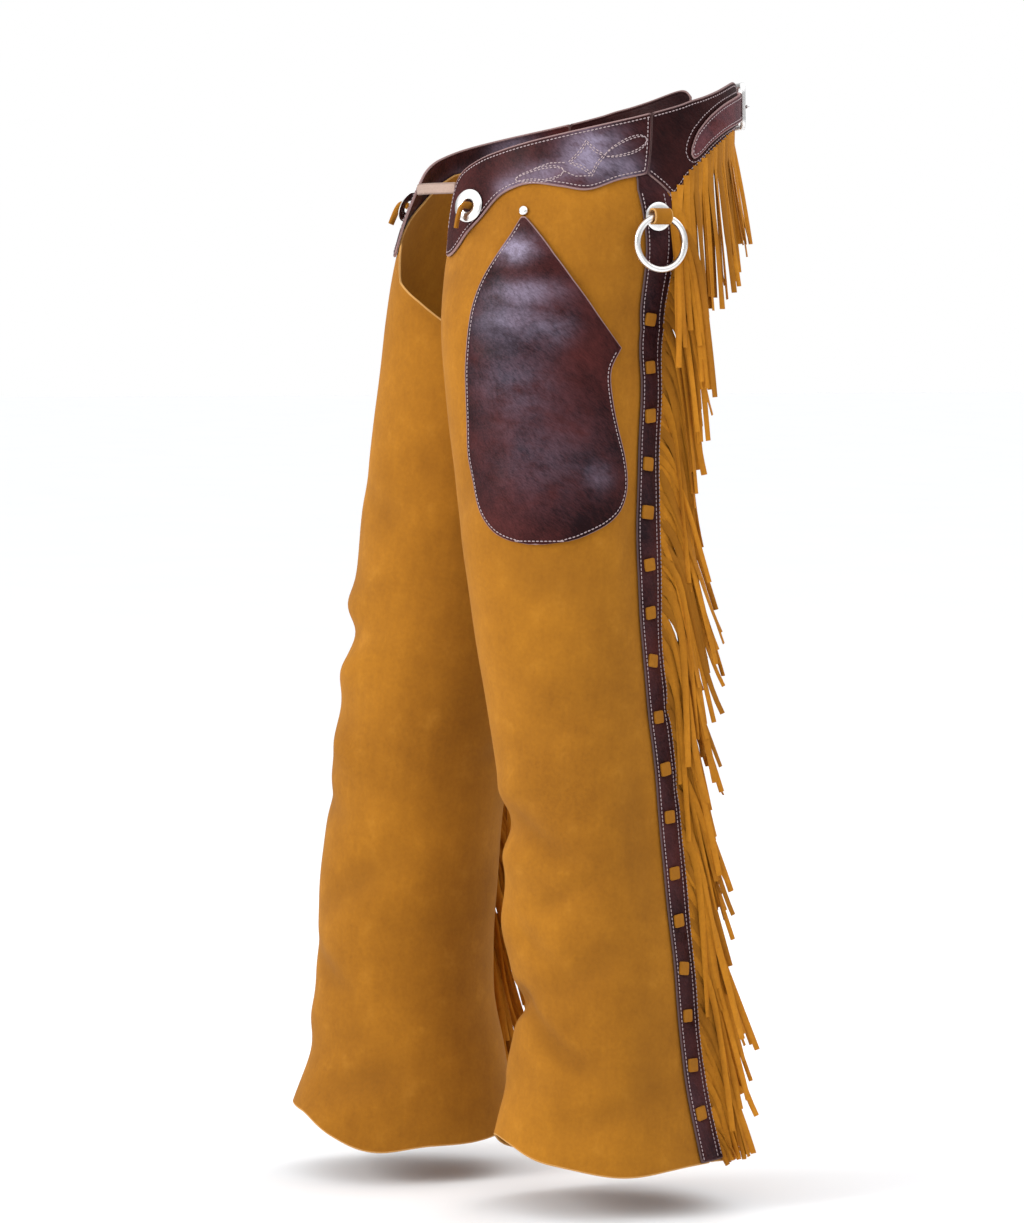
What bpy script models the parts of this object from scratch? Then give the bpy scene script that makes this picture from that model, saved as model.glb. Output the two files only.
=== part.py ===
"""Fringed leather chaps, worn: two suede legs hung from a shaped leather yoke that laces in front and
buckles behind. The wearer faces -Y, +X is the wearer's left, +Z is up, and the origin is the centre of
the waist opening. Lengths are metres and angles are degrees."""

import math
from collections import namedtuple

import bmesh
import bpy
from mathutils import Matrix, Vector

NAMES = {1: "left", -1: "right"}

GAP = 0.0003
SUEDE = 0.0020
YOKE_LEATHER = 0.0022
STRIP_LEATHER = 0.0018
STRAP_LEATHER = 0.0020
PANEL_LIFT = 0.0010
STRIP_LIFT = 0.0011
YOKE_OUTER = PANEL_LIFT + YOKE_LEATHER
STRIP_OUTER = STRIP_LIFT + STRIP_LEATHER

LEG_COLUMNS = 33
LEG_ROWS = 18
YOKE_OVERLAP = 0.016
STRIP_FRONT = -0.0135
STRIP_REAR = 0.0205
STRIP_BENDS = [-0.0665, -0.084, -0.107, -0.128, -0.150, -0.168, -0.185, -0.207, -0.230]
STRIP_BOTTOM = -0.951
STRIP_ROWS = 20
STRAP_WIDTH = 0.025

RING_RADIUS = 0.024
RING_WIRE = 0.003
RING_SECTIONS = 28
WIRE_SIDES = 8
RING_TOP_HEIGHT = -0.083
RING_YAW = 5
SIDE_CONCHO_RADIUS = 0.013
SIDE_CONCHO_DEPTH = 0.0020
SIDE_CONCHO_LIFT = STRIP_OUTER + 0.0020
LOOP_WIDTH = 0.017
LOOP_INNER = 0.0056
LOOP_LEATHER = 0.0018

CONCHO_RADIUS = 0.015
CONCHO_HOLE = 0.0060
CONCHO_DEPTH = 0.0022
CONCHO_CLEARANCE = 0.0042
CONCHO_TURN = 16
CONCHO_HEIGHT = -0.074
CONCHO_ANGLE = 25
KNOT_RADIUS = 0.0042
STUD_RADIUS = 0.0045
STUD_DEPTH = 0.0030
STUD_HEIGHT = -0.078
STUD_ANGLE = 51
LACE_WIDTH = 0.009
LACE_LEATHER = 0.0022
LACE_HEIGHT = -0.056

FRINGE_REACH = 0.037
FRINGE_DEPTH = 0.009
FRINGE_FIRST_ROW = 6
HIP_FRINGE_START = 117
HIP_FRINGE_END = 150
HIP_FRINGE_DEPTH = 0.006
HIP_FRINGE_DROP = 0.130
HIP_FRINGE_SHORTER = 0.025

BUCKLE_HALF_WIDTH = 0.0170
BUCKLE_HALF_HEIGHT = 0.0195
BUCKLE_CORNER = 0.0070
BUCKLE_WIRE = 0.0024
BUCKLE_LIFT = 0.0076
BUCKLE_HEIGHT = 0.021
BUCKLE_ACROSS = 0.044
TONGUE_RADIUS = 0.0016

# One level section of a leg: the middle of its tube, fore and aft for each leg because the right leg
# steps forward, and its reach to the front, the back, the outer side and the inner side.
Section = namedtuple("Section", "height centre_x left_y right_y front back outer inner")
SECTIONS = [
    Section(0.070, 0.036, 0.006, 0.006, 0.128, 0.119, 0.122, 0.260),
    Section(0.020, 0.036, 0.002, 0.002, 0.134, 0.125, 0.128, 0.260),
    Section(-0.040, 0.040, -0.004, -0.010, 0.137, 0.127, 0.133, 0.220),
    Section(-0.100, 0.056, -0.020, -0.042, 0.126, 0.120, 0.124, 0.110),
    Section(-0.180, 0.092, -0.052, -0.070, 0.108, 0.108, 0.090, 0.080),
    Section(-0.260, 0.097, -0.055, -0.086, 0.100, 0.103, 0.087, 0.080),
    Section(-0.370, 0.103, -0.052, -0.107, 0.092, 0.096, 0.084, 0.079),
    Section(-0.480, 0.107, -0.043, -0.125, 0.085, 0.089, 0.080, 0.077),
    Section(-0.575, 0.108, -0.031, -0.140, 0.084, 0.087, 0.078, 0.076),
    Section(-0.650, 0.108, -0.024, -0.149, 0.082, 0.087, 0.079, 0.076),
    Section(-0.730, 0.108, -0.017, -0.157, 0.084, 0.088, 0.080, 0.077),
    Section(-0.820, 0.108, -0.010, -0.161, 0.084, 0.090, 0.082, 0.078),
    Section(-0.880, 0.107, -0.008, -0.158, 0.091, 0.097, 0.086, 0.082),
    Section(-0.930, 0.106, -0.006, -0.160, 0.107, 0.106, 0.091, 0.085),
    Section(-0.990, 0.106, -0.004, -0.162, 0.128, 0.120, 0.097, 0.090),
]

# Large soft folds: a trough of this depth, with its half height and its half width round the leg.
Fold = namedtuple("Fold", "side height angle depth tall wide")
FOLDS = [
    Fold(1, -0.640, -4, 0.013, 0.030, 34),
    Fold(1, -0.715, 35, 0.003, 0.040, 40),
    Fold(1, -0.880, 20, 0.004, 0.035, 35),
    Fold(-1, -0.480, 2, 0.006, 0.018, 40),
    Fold(-1, -0.555, -30, 0.004, 0.030, 40),
    Fold(-1, -0.870, -35, 0.005, 0.045, 40),
]

# Angles run round a leg from 0 at the front, through 90 at the outer side, to 180 at the back, and
# go below 0 over the inner side. The outseam leans forward where it nears the waist.
SeamPoint = namedtuple("SeamPoint", "height angle")
OUTSEAM = [
    SeamPoint(0.070, 98),
    SeamPoint(-0.030, 98),
    SeamPoint(-0.059, 101.5),
    SeamPoint(-0.107, 113),
    SeamPoint(-0.150, 124),
    SeamPoint(-0.185, 133),
    SeamPoint(-0.230, 136),
    SeamPoint(-0.990, 136),
]
SEAM_ANGLE = 136
SEAM_SWAY = 76

# The leg's upper edge inside the yoke's front point, round the crotch and under the seat.
Edge = namedtuple("Edge", "angle height")
LEG_TOP = [
    Edge(-224, -0.163),
    Edge(-216, -0.180),
    Edge(-205, -0.205),
    Edge(-190, -0.226),
    Edge(-170, -0.234),
    Edge(-140, -0.231),
    Edge(-110, -0.222),
    Edge(-90, -0.211),
    Edge(-70, -0.196),
    Edge(-50, -0.177),
    Edge(-35, -0.162),
    Edge(-13, -0.143),
    Edge(-5, -0.125),
    Edge(5, -0.104),
]
HEM = [
    Edge(-224, -0.953),
    Edge(-180, -0.957),
    Edge(-130, -0.960),
    Edge(-95, -0.964),
    Edge(-70, -0.967),
    Edge(-45, -0.954),
    Edge(-15, -0.934),
    Edge(20, -0.934),
    Edge(50, -0.948),
    Edge(80, -0.957),
    Edge(110, -0.955),
    Edge(136, -0.952),
]

# The yoke, by angle round the waist: its scalloped lower edge and its upper edge.
Band = namedtuple("Band", "angle lower upper")
FRONT_YOKE = [
    Band(3, -0.117, -0.098),
    Band(5, -0.119, -0.082),
    Band(11, -0.116, -0.054),
    Band(16, -0.109, -0.043),
    Band(21, -0.099, -0.037),
    Band(30, -0.084, -0.029),
    Band(39, -0.065, -0.023),
    Band(47, -0.056, -0.018),
    Band(54, -0.053, -0.014),
    Band(65, -0.056, -0.008),
    Band(76, -0.059, -0.002),
    Band(87, -0.050, 0.004),
    Band(97.9, -0.0445, 0.010),
]
BACK_YOKE = [
    Band(98.2, -0.0445, 0.010),
    Band(105, -0.054, 0.014),
    Band(111.5, -0.064, 0.018),
    Band(117, -0.047, 0.022),
    Band(124, -0.034, 0.026),
    Band(132, -0.022, 0.031),
    Band(143, -0.010, 0.038),
    Band(150, -0.005, 0.041),
    Band(154, 0.000, 0.040),
    Band(157, 0.008, 0.035),
]

# The thigh pocket, by height: its front edge and its rear edge. The rear edge above the notch is
# the open mouth.
PocketRow = namedtuple("PocketRow", "height front rear")
POCKET = [
    PocketRow(-0.084, 50.5, 52.5),
    PocketRow(-0.100, 46.8, 60.0),
    PocketRow(-0.118, 42.0, 68.4),
    PocketRow(-0.140, 37.0, 80.0),
    PocketRow(-0.161, 34.2, 92.0),
    PocketRow(-0.182, 32.8, 103.5),
    PocketRow(-0.202, 31.4, 114.0),
    PocketRow(-0.222, 29.4, 108.7),
    PocketRow(-0.248, 27.2, 109.3),
    PocketRow(-0.276, 25.3, 112.8),
    PocketRow(-0.303, 23.8, 117.2),
    PocketRow(-0.328, 24.6, 118.8),
    PocketRow(-0.347, 28.4, 115.0),
    PocketRow(-0.360, 33.2, 107.0),
    PocketRow(-0.370, 40.0, 95.0),
    PocketRow(-0.376, 49.0, 84.0),
    PocketRow(-0.379, 60.0, 70.0),
]
POCKET_COLUMNS = 7

# The back straps, by distance from the centre back towards the strap's own side, and below zero past
# it: the middle height, the half width and the lift of the inner face off the waist. The rows beside
# the buckle count from the buckle's own middle instead.
StrapRow = namedtuple("StrapRow", "across height half_width lift")
SEWN_STRAP = [
    StrapRow(0.1500, -0.0240, 0.0030, 0.0042),
    StrapRow(0.1485, -0.0210, 0.0090, 0.0042),
    StrapRow(0.1460, -0.0160, 0.0120, 0.0042),
    StrapRow(0.1380, -0.0040, 0.0125, 0.0042),
    StrapRow(0.1240, 0.0070, 0.0125, 0.0042),
    StrapRow(0.1050, 0.0140, 0.0125, 0.0042),
    StrapRow(0.0850, 0.0180, 0.0125, 0.0042),
]
RIGHT_STRAP = [
    StrapRow(0.0580, 0.0205, 0.0125, 0.0042),
    StrapRow(0.0360, 0.0210, 0.0125, 0.0042),
    StrapRow(0.0080, 0.0210, 0.0125, 0.0040),
]
RISE_TO_BAR = StrapRow(0.0260, 0.0210, 0.0125, 0.0076)
BILLET_END = [
    StrapRow(0.0290, 0.0197, 0.0125, 0.0033),
    StrapRow(0.0170, 0.0206, 0.0125, 0.0026),
    StrapRow(0.0080, 0.0210, 0.0125, 0.0032),
    StrapRow(0.0000, 0.0210, 0.0125, 0.0065),
    StrapRow(-0.0100, 0.0210, 0.0125, 0.0112),
    StrapRow(-0.0170, 0.0210, 0.0125, 0.0128),
    StrapRow(-0.0250, 0.0210, 0.0125, 0.0118),
    StrapRow(-0.0340, 0.0210, 0.0125, 0.0086),
    StrapRow(-0.0440, 0.0208, 0.0125, 0.0074),
    StrapRow(-0.0600, 0.0203, 0.0125, 0.0072),
    StrapRow(-0.0760, 0.0192, 0.0110, 0.0072),
    StrapRow(-0.0830, 0.0186, 0.0050, 0.0072),
]
TONGUE_SLOT_ROWS = (10, 11, 12)
STRAP_COLUMNS = 5


def interpolated(table, position, keys, column):
    """The named column where the key column passes a position, on a smooth curve through the rows."""
    rows = table if getattr(table[0], keys) < getattr(table[-1], keys) else table[::-1]
    last = len(rows) - 1
    at = [getattr(row, keys) for row in rows]
    value = [getattr(row, column) for row in rows]
    if position <= at[0]:
        return value[0]
    if position >= at[last]:
        return value[last]
    low = max(i for i in range(last) if at[i] <= position)

    def slope(i):
        before, after = max(i - 1, 0), min(i + 1, last)
        return (value[after] - value[before]) / (at[after] - at[before])

    span = at[low + 1] - at[low]
    t = (position - at[low]) / span
    rise = value[low + 1] - value[low]
    start, finish = slope(low) * span, slope(low + 1) * span
    return value[low] + t * start + t * t * (3 * rise - 2 * start - finish) + t**3 * (start + finish - 2 * rise)


def straight(table, position, keys, column):
    """The same on straight lines between the rows, for edges with corners."""
    rows = table if getattr(table[0], keys) < getattr(table[-1], keys) else table[::-1]
    for first, second in zip(rows, rows[1:]):
        if position <= getattr(second, keys):
            break
    span = getattr(second, keys) - getattr(first, keys)
    t = min(max((position - getattr(first, keys)) / span, 0), 1)
    return getattr(first, column) * (1 - t) + getattr(second, column) * t


def section(side, height):
    """The leg's centre and its four reaches at a height."""
    names = ("centre_x", "left_y" if side > 0 else "right_y", "front", "back", "outer", "inner")
    return [interpolated(SECTIONS, height, "height", name) for name in names]


def fold_depth(side, height, angle):
    """How far the large folds sink the leather at a place."""
    depth = 0
    for fold in FOLDS:
        if fold.side == side:
            down = (height - fold.height) / fold.tall
            along = (angle - fold.angle) / fold.wide
            depth += fold.depth * math.exp(-down * down - along * along)
    return depth


def skin_point(side, height, angle):
    """A point on the outer face of the suede, or on the hip where the leg has ended."""
    centre_x, centre_y, front, back, outer, inner = section(side, height)
    wrapped = (angle + 180) % 360 - 180
    sunk = fold_depth(side, height, wrapped)
    sine, cosine = math.sin(math.radians(angle)), math.cos(math.radians(angle))
    reach_x = (outer if sine > 0 else inner) - sunk
    reach_y = (front if cosine > 0 else back) - sunk
    return Vector((side * (centre_x + reach_x * sine), centre_y - reach_y * cosine, height))


def skin_normal(side, height, angle):
    """The outward normal there."""
    round_leg = skin_point(side, height, angle + 1) - skin_point(side, height, angle - 1)
    up_leg = skin_point(side, height + 0.002, angle) - skin_point(side, height - 0.002, angle)
    return (side * round_leg.cross(up_leg)).normalized()


def lifted(side, height, angle, lift):
    """A point that stands off the suede's outer face by a lift."""
    return skin_point(side, height, angle) + skin_normal(side, height, angle) * lift


def waist_angle(across):
    """The angle of the point behind the waist at a distance from the centre back, on its own side."""
    centre_x, _, _, _, outer, _ = section(1, BUCKLE_HEIGHT)
    return 180 - math.degrees(math.asin((across - centre_x) / outer))


def waist_point(side, across, height, lift):
    """A point behind the waist. Below zero it lies past the centre back, on the other side, and
    between the two yoke ends the straps run straight."""
    if across < 0:
        return waist_point(-side, -across, height, lift)
    if across < section(1, BUCKLE_HEIGHT)[0]:
        behind = lifted(1, height, 180, lift)
        return Vector((side * across, behind.y, behind.z))
    return lifted(side, height, waist_angle(across), lift)


def material(name, colour, roughness, metallic):
    made = bpy.data.materials.new(name)
    made.use_nodes = True
    shader = made.node_tree.nodes["Principled BSDF"]
    shader.inputs["Base Color"].default_value = (*colour, 1)
    shader.inputs["Roughness"].default_value = roughness
    shader.inputs["Metallic"].default_value = metallic
    return made


FINISHES = {
    "suede": ((0.52, 0.21, 0.035), 0.95, 0.0),
    "fringe_suede": ((0.44, 0.17, 0.03), 0.95, 0.0),
    "yoke_leather": ((0.055, 0.012, 0.014), 0.45, 0.0),
    "strap_leather": ((0.12, 0.03, 0.035), 0.45, 0.0),
    "lace_leather": ((0.45, 0.30, 0.24), 0.8, 0.0),
    "nickel": ((0.82, 0.80, 0.78), 0.2, 1.0),
}


def add_object(name, shape, finish, smooth=False):
    """An object from a bmesh, with its faces pointing out and its own copy of a finish."""
    bmesh.ops.recalc_face_normals(shape, faces=shape.faces)
    if shape.calc_volume(signed=True) < 0:
        bmesh.ops.reverse_faces(shape, faces=shape.faces)
    mesh = bpy.data.meshes.new(name)
    shape.to_mesh(mesh)
    shape.free()
    made = bpy.data.objects.new(name, mesh)
    bpy.context.collection.objects.link(made)
    mesh.materials.append(material(name, *FINISHES[finish]))
    if smooth:
        mesh.shade_smooth()
        mesh.set_sharp_from_angle(angle=math.radians(35))
    return made


def wall(name, grid, finish, left_out=()):
    """A closed wall from rows of (inner, outer) point pairs. Cells that are left out become holes."""
    shape = bmesh.new()
    corners = [[(shape.verts.new(inner), shape.verts.new(outer)) for inner, outer in row] for row in grid]
    rows, columns = len(grid) - 1, len(grid[0]) - 1
    cells = {(r, c) for r in range(rows) for c in range(columns)} - set(left_out)
    for r, c in cells:
        for face in (0, 1):
            ring = [corners[r][c], corners[r][c + 1], corners[r + 1][c + 1], corners[r + 1][c]]
            shape.faces.new([pair[face] for pair in ring])
        sides = (
            ((r - 1, c), (r, c), (r, c + 1)),
            ((r + 1, c), (r + 1, c), (r + 1, c + 1)),
            ((r, c - 1), (r, c), (r + 1, c)),
            ((r, c + 1), (r, c + 1), (r + 1, c + 1)),
        )
        for neighbour, first, second in sides:
            if neighbour not in cells:
                one, two = corners[first[0]][first[1]], corners[second[0]][second[1]]
                shape.faces.new([one[0], one[1], two[1], two[0]])
    loose = [vert for vert in shape.verts if not vert.link_faces]
    bmesh.ops.delete(shape, geom=loose, context="VERTS")
    bmesh.ops.triangulate(shape, faces=shape.faces)
    return add_object(name, shape, finish)


def turned(name, profile, frame, finish, steps=24):
    """A piece turned about its frame's Z axis from a closed profile of (radius, height) points."""
    shape = bmesh.new()
    verts = [shape.verts.new((radius, 0, height)) for radius, height in profile]
    edges = [shape.edges.new(pair) for pair in zip(verts, verts[1:])]
    if profile[0][0] > 0:
        edges.append(shape.edges.new((verts[-1], verts[0])))
    bmesh.ops.spin(
        shape,
        geom=verts + edges,
        cent=(0, 0, 0),
        axis=(0, 0, 1),
        angle=2 * math.pi,
        steps=steps,
        use_merge=True,
    )
    bmesh.ops.remove_doubles(shape, verts=shape.verts, dist=0.000001)
    shape.transform(frame)
    return add_object(name, shape, finish, smooth=True)


def tube(name, path, radius, finish, sides=8):
    """A round bar with closed ends along a path."""
    shape = bmesh.new()
    rings = []
    for place, point in enumerate(path):
        ahead = path[min(place + 1, len(path) - 1)] - path[max(place - 1, 0)]
        turn = ahead.to_track_quat("Z", "Y").to_matrix()
        ends = place in (0, len(path) - 1)
        size = radius * (0.7 if ends else 1)
        ring = []
        for step in range(sides):
            around = 2 * math.pi * step / sides
            offset = Vector((size * math.cos(around), size * math.sin(around), 0))
            ring.append(shape.verts.new(point + turn @ offset))
        rings.append(ring)
    for first, second in zip(rings, rings[1:]):
        for step in range(sides):
            after = (step + 1) % sides
            shape.faces.new([first[step], first[after], second[after], second[step]])
    shape.faces.new(rings[0])
    shape.faces.new(rings[-1])
    return add_object(name, shape, finish, smooth=True)


def flat_frame(side, height, angle, lift):
    """A frame that lies flat on the leather: its Z points outward and its Y points up the leather."""
    outward = skin_normal(side, height, angle)
    along = Vector((0, 0, 1)).cross(outward).normalized()
    frame = Matrix((along, outward.cross(along), outward)).transposed().to_4x4()
    frame.translation = skin_point(side, height, angle) + outward * lift
    return frame


def upright_frame(side, height, angle, lift, turn):
    """A frame beside the leather that stands upright, turned forward about the vertical."""
    outward = skin_normal(side, height, angle)
    outward.z = 0
    outward = Matrix.Rotation(math.radians(-side * turn), 3, "Z") @ outward.normalized()
    up = Vector((0, 0, 1))
    frame = Matrix((up.cross(outward), up, outward)).transposed().to_4x4()
    frame.translation = skin_point(side, height, angle) + outward * lift
    return frame


def seam_angle(height):
    return straight(OUTSEAM, height, "height", "angle")


def yoke_lower(angle):
    table = FRONT_YOKE if angle < 98 else BACK_YOKE
    return straight(table, angle, "angle", "lower")


def column_angle(column, height):
    """The angle of a leg column at a height: columns near the outseam lean forward with it."""
    lean = seam_angle(height) - SEAM_ANGLE
    near = min(max((column - SEAM_ANGLE + SEAM_SWAY) / SEAM_SWAY, 0), 1)
    if column < -90:
        near = min(max((-column - 360 + SEAM_ANGLE + SEAM_SWAY) / SEAM_SWAY, 0), 1)
    return column + lean * near


def column_top(column):
    """The height where a leg column ends: inside the yoke in front, and its own edge elsewhere."""
    if column <= 5:
        return straight(LEG_TOP, column, "angle", "height")
    rise = min((column - 5) / 8, 1) * YOKE_OVERLAP
    return yoke_lower(column_angle(column, -0.050)) + rise


def leg(side):
    """One suede leg, wrapped round from the outseam, over the front and back to the outseam."""
    slit = 0.12
    grid = []
    columns = [SEAM_ANGLE - slit - (360 - 2 * slit) * c / LEG_COLUMNS for c in range(LEG_COLUMNS + 1)]
    for row in range(LEG_ROWS + 1):
        down = row / LEG_ROWS
        line = []
        for column in columns:
            top, hem = column_top(column), straight(HEM, column, "angle", "height")
            height = top + (hem - top) * down
            angle = column_angle(column, height)
            line.append((lifted(side, height, angle, -SUEDE), lifted(side, height, angle, 0)))
        grid.append(line)
    return wall("leg_" + NAMES[side], grid, "suede")


def yoke(side, name, table):
    """One yoke panel, lying on the leg's upper edge."""
    halfway = [(first.angle + second.angle) / 2 for first, second in zip(table, table[1:])]
    angles = sorted([band.angle for band in table] + halfway)
    grid = []
    for step in range(4):
        line = []
        for angle in angles:
            lower, upper = straight(table, angle, "angle", "lower"), straight(table, angle, "angle", "upper")
            height = lower + (upper - lower) * step / 3
            line.append((lifted(side, height, angle, PANEL_LIFT), lifted(side, height, angle, YOKE_OUTER)))
        grid.append(line)
    return wall(name + "_" + NAMES[side], grid, "yoke_leather")


def pocket(side):
    """The thigh pocket patch."""
    grid = []
    for row in POCKET:
        line = []
        for column in range(POCKET_COLUMNS + 1):
            angle = row.front + (row.rear - row.front) * column / POCKET_COLUMNS
            low = lifted(side, row.height, angle, PANEL_LIFT)
            line.append((low, lifted(side, row.height, angle, PANEL_LIFT + SUEDE)))
        grid.append(line)
    return wall("pocket_" + NAMES[side], grid, "yoke_leather")


def strip_edge(side, height, across, lift):
    """A point on the strip: a distance behind the middle of the outseam, measured along the leather."""
    angle = seam_angle(height)
    per_degree = (skin_point(side, height, angle + 1) - skin_point(side, height, angle)).length
    return lifted(side, height, angle + across / per_degree, lift)


def strip_heights():
    """The heights of the strip's rows: close together where the outseam bends, then even to the hem."""
    straight_length = STRIP_BOTTOM - STRIP_BENDS[-1]
    even = [STRIP_BENDS[-1] + straight_length * step / STRIP_ROWS for step in range(1, STRIP_ROWS + 1)]
    return STRIP_BENDS + even


def side_strip(side):
    """The dark strip over the outseam, from the yoke's rear point to the hem."""
    grid = []
    for height in strip_heights():
        line = []
        for step in range(4):
            across = STRIP_FRONT + (STRIP_REAR - STRIP_FRONT) * step / 3
            low = strip_edge(side, height, across, STRIP_LIFT)
            line.append((low, strip_edge(side, height, across, STRIP_OUTER)))
        grid.append(line)
    return wall("side_strip_" + NAMES[side], grid, "yoke_leather")


def leg_fringe(side):
    """The reach of the fringe that is sewn in behind the strip."""
    grid = []
    for height in strip_heights()[FRINGE_FIRST_ROW:]:
        root = strip_edge(side, height, STRIP_REAR + 0.0035, 0.0010)
        normal = skin_normal(side, height, seam_angle(height) + 8)
        normal.z = 0
        normal.normalize()
        back = Vector((0, 0, 1)).cross(normal) * side
        stand = 0.30 + 0.45 * min(max((-0.080 - height) / 0.20, 0), 1)
        reach = back * math.sqrt(1 - stand * stand) + normal * stand
        across = Vector((0, 0, 1)).cross(reach) * -side
        line = []
        for step in (0, 0.5, 1):
            start = root + reach * FRINGE_REACH * step
            line.append((start, start + across * FRINGE_DEPTH))
        grid.append(line)
    return wall("fringe_leg_" + NAMES[side], grid, "fringe_suede")


def hip_fringe(side):
    """The reach of the fringe that hangs from the lower edge of the back yoke."""
    bands = [band for band in BACK_YOKE if HIP_FRINGE_START <= band.angle <= HIP_FRINGE_END]
    grid = []
    for step in range(5):
        line = []
        for band in bands:
            share = (band.angle - HIP_FRINGE_START) / (HIP_FRINGE_END - HIP_FRINGE_START)
            root = lifted(side, band.lower - 0.001, band.angle, GAP)
            outward = skin_normal(side, band.lower, band.angle)
            outward.z = 0
            outward.normalize()
            drop = (HIP_FRINGE_DROP - HIP_FRINGE_SHORTER * share) * step / 4
            start = root - Vector((0, 0, drop)) + outward * (0.002 + 0.10 * drop)
            line.append((start, start + outward * HIP_FRINGE_DEPTH))
        grid.append(line)
    return wall("fringe_hip_" + NAMES[side], grid, "fringe_suede")


def ring_frame(side):
    """The frame of the ring's hanging point: Z outward, Y up."""
    lift = SIDE_CONCHO_LIFT + SIDE_CONCHO_DEPTH + 2 * GAP + RING_WIRE
    return upright_frame(side, RING_TOP_HEIGHT, seam_angle(RING_TOP_HEIGHT), lift, RING_YAW)


def ring(side):
    """The rein ring that hangs in its loop. Its origin is where it hangs, on its hinge axis."""
    frame = ring_frame(side)
    shape = bmesh.new()
    rings = []
    for step in range(RING_SECTIONS):
        around = 2 * math.pi * step / RING_SECTIONS
        out = Vector((math.sin(around), math.cos(around), 0))
        loop = []
        for turn in range(WIRE_SIDES):
            lean = 2 * math.pi * turn / WIRE_SIDES
            centre = Vector((0, -RING_RADIUS, 0))
            place = centre + out * (RING_RADIUS + RING_WIRE * math.cos(lean))
            loop.append(shape.verts.new(place + Vector((0, 0, RING_WIRE * math.sin(lean)))))
        rings.append(loop)
    for step in range(RING_SECTIONS):
        first, second = rings[step], rings[(step + 1) % RING_SECTIONS]
        for turn in range(WIRE_SIDES):
            after = (turn + 1) % WIRE_SIDES
            shape.faces.new([first[turn], first[after], second[after], second[turn]])
    made = add_object("ring_" + NAMES[side], shape, "nickel", smooth=True)
    made.matrix_world = frame
    return made


def ring_loop(side):
    """The suede loop that arches over the ring's top, its ends on the concho."""
    frame = ring_frame(side)
    foot = -(RING_WIRE + GAP)
    path = [(-LOOP_INNER, foot)]
    path += [
        (-LOOP_INNER * math.cos(math.pi * step / 8), LOOP_INNER * math.sin(math.pi * step / 8))
        for step in range(9)
    ]
    path += [(LOOP_INNER, foot)]
    grow = (LOOP_INNER + LOOP_LEATHER) / LOOP_INNER
    grid = []
    for up, out in path:
        outer_out = out if out == foot else out * grow
        line = []
        for across in (-LOOP_WIDTH / 2, LOOP_WIDTH / 2):
            inner, outer = Vector((across, up, out)), Vector((across, up * grow, outer_out))
            line.append((frame @ inner, frame @ outer))
        grid.append(line)
    return wall("ring_loop_" + NAMES[side], grid, "suede")


def side_concho(side):
    """The slotted concho behind the loop."""
    frame = upright_frame(
        side, RING_TOP_HEIGHT, seam_angle(RING_TOP_HEIGHT), SIDE_CONCHO_LIFT, RING_YAW
    )
    rim, top = SIDE_CONCHO_RADIUS, SIDE_CONCHO_DEPTH
    profile = [(0, 0), (rim, 0), (rim, 0.0008), (rim * 0.85, top), (0, top)]
    return turned("side_concho_" + NAMES[side], profile, frame, "nickel")


def concho_frame(side):
    """The frame of the front concho, which stands on its lace a little turned to the outer side."""
    frame = flat_frame(side, CONCHO_HEIGHT, CONCHO_ANGLE, YOKE_OUTER + CONCHO_CLEARANCE)
    return frame @ Matrix.Rotation(math.radians(side * CONCHO_TURN), 4, "Y")


def front_concho(side):
    """The concho on the yoke's front point, with a hole for the lace."""
    frame = concho_frame(side)
    hole, rim, top = CONCHO_HOLE, CONCHO_RADIUS, CONCHO_DEPTH
    profile = [(hole, 0), (rim, 0), (rim, 0.0008), (rim * 0.8, top), (hole * 1.25, top), (hole, top * 0.6)]
    return turned("concho_" + NAMES[side], profile, frame, "nickel")


def lace_knot(side):
    """The knotted end of the lace, out through the concho and hanging."""
    frame = concho_frame(side)
    steps = [(0, 0, -0.0026), (0, 0, 0.0045), (0.0012, -0.0020, 0.0082), (0.0030, -0.0080, 0.0088)]
    steps += [(0.0045, -0.0150, 0.0080), (0.0055, -0.0220, 0.0072)]
    path = [frame @ Vector((-side * x, y, z)) for x, y, z in steps]
    return tube("lace_knot_" + NAMES[side], path, KNOT_RADIUS, "suede")


def front_lace():
    """The lace that draws the two front points together across the belly."""
    left = lifted(1, LACE_HEIGHT, 10.0, 0.0014)
    right = lifted(-1, LACE_HEIGHT, 10.0, 0.0014)
    left += Vector((-0.0012, 0, 0))
    right += Vector((0.0012, 0, 0))
    grid = []
    count = 10
    for step in range(count + 1):
        along = step / count
        middle = left.lerp(right, along) + Vector((0, -0.010 * math.sin(math.pi * along), 0))
        line = []
        for up in (-LACE_WIDTH / 2, LACE_WIDTH / 2):
            raised = middle + Vector((0, 0, up))
            out = Vector((0, LACE_LEATHER / 2, 0))
            line.append((raised + out, raised - out))
        grid.append(line)
    return wall("front_lace", grid, "lace_leather")


def pocket_stud(side):
    """The domed stud at the pocket's peak."""
    frame = flat_frame(side, STUD_HEIGHT, STUD_ANGLE, PANEL_LIFT)
    profile = [(0, 0), (STUD_RADIUS, 0), (STUD_RADIUS * 0.95, STUD_DEPTH * 0.5)]
    profile += [(STUD_RADIUS * 0.6, STUD_DEPTH * 0.9), (0, STUD_DEPTH)]
    return turned("pocket_stud_" + NAMES[side], profile, frame, "nickel", steps=16)


def strap_grid(side, rows):
    grid = []
    for row in rows:
        line = []
        for column in range(STRAP_COLUMNS + 1):
            height = row.height + row.half_width * (2 * column / STRAP_COLUMNS - 1)
            low = waist_point(side, row.across, height, row.lift)
            line.append((low, waist_point(side, row.across, height, row.lift + STRAP_LEATHER)))
        grid.append(line)
    return grid


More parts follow.
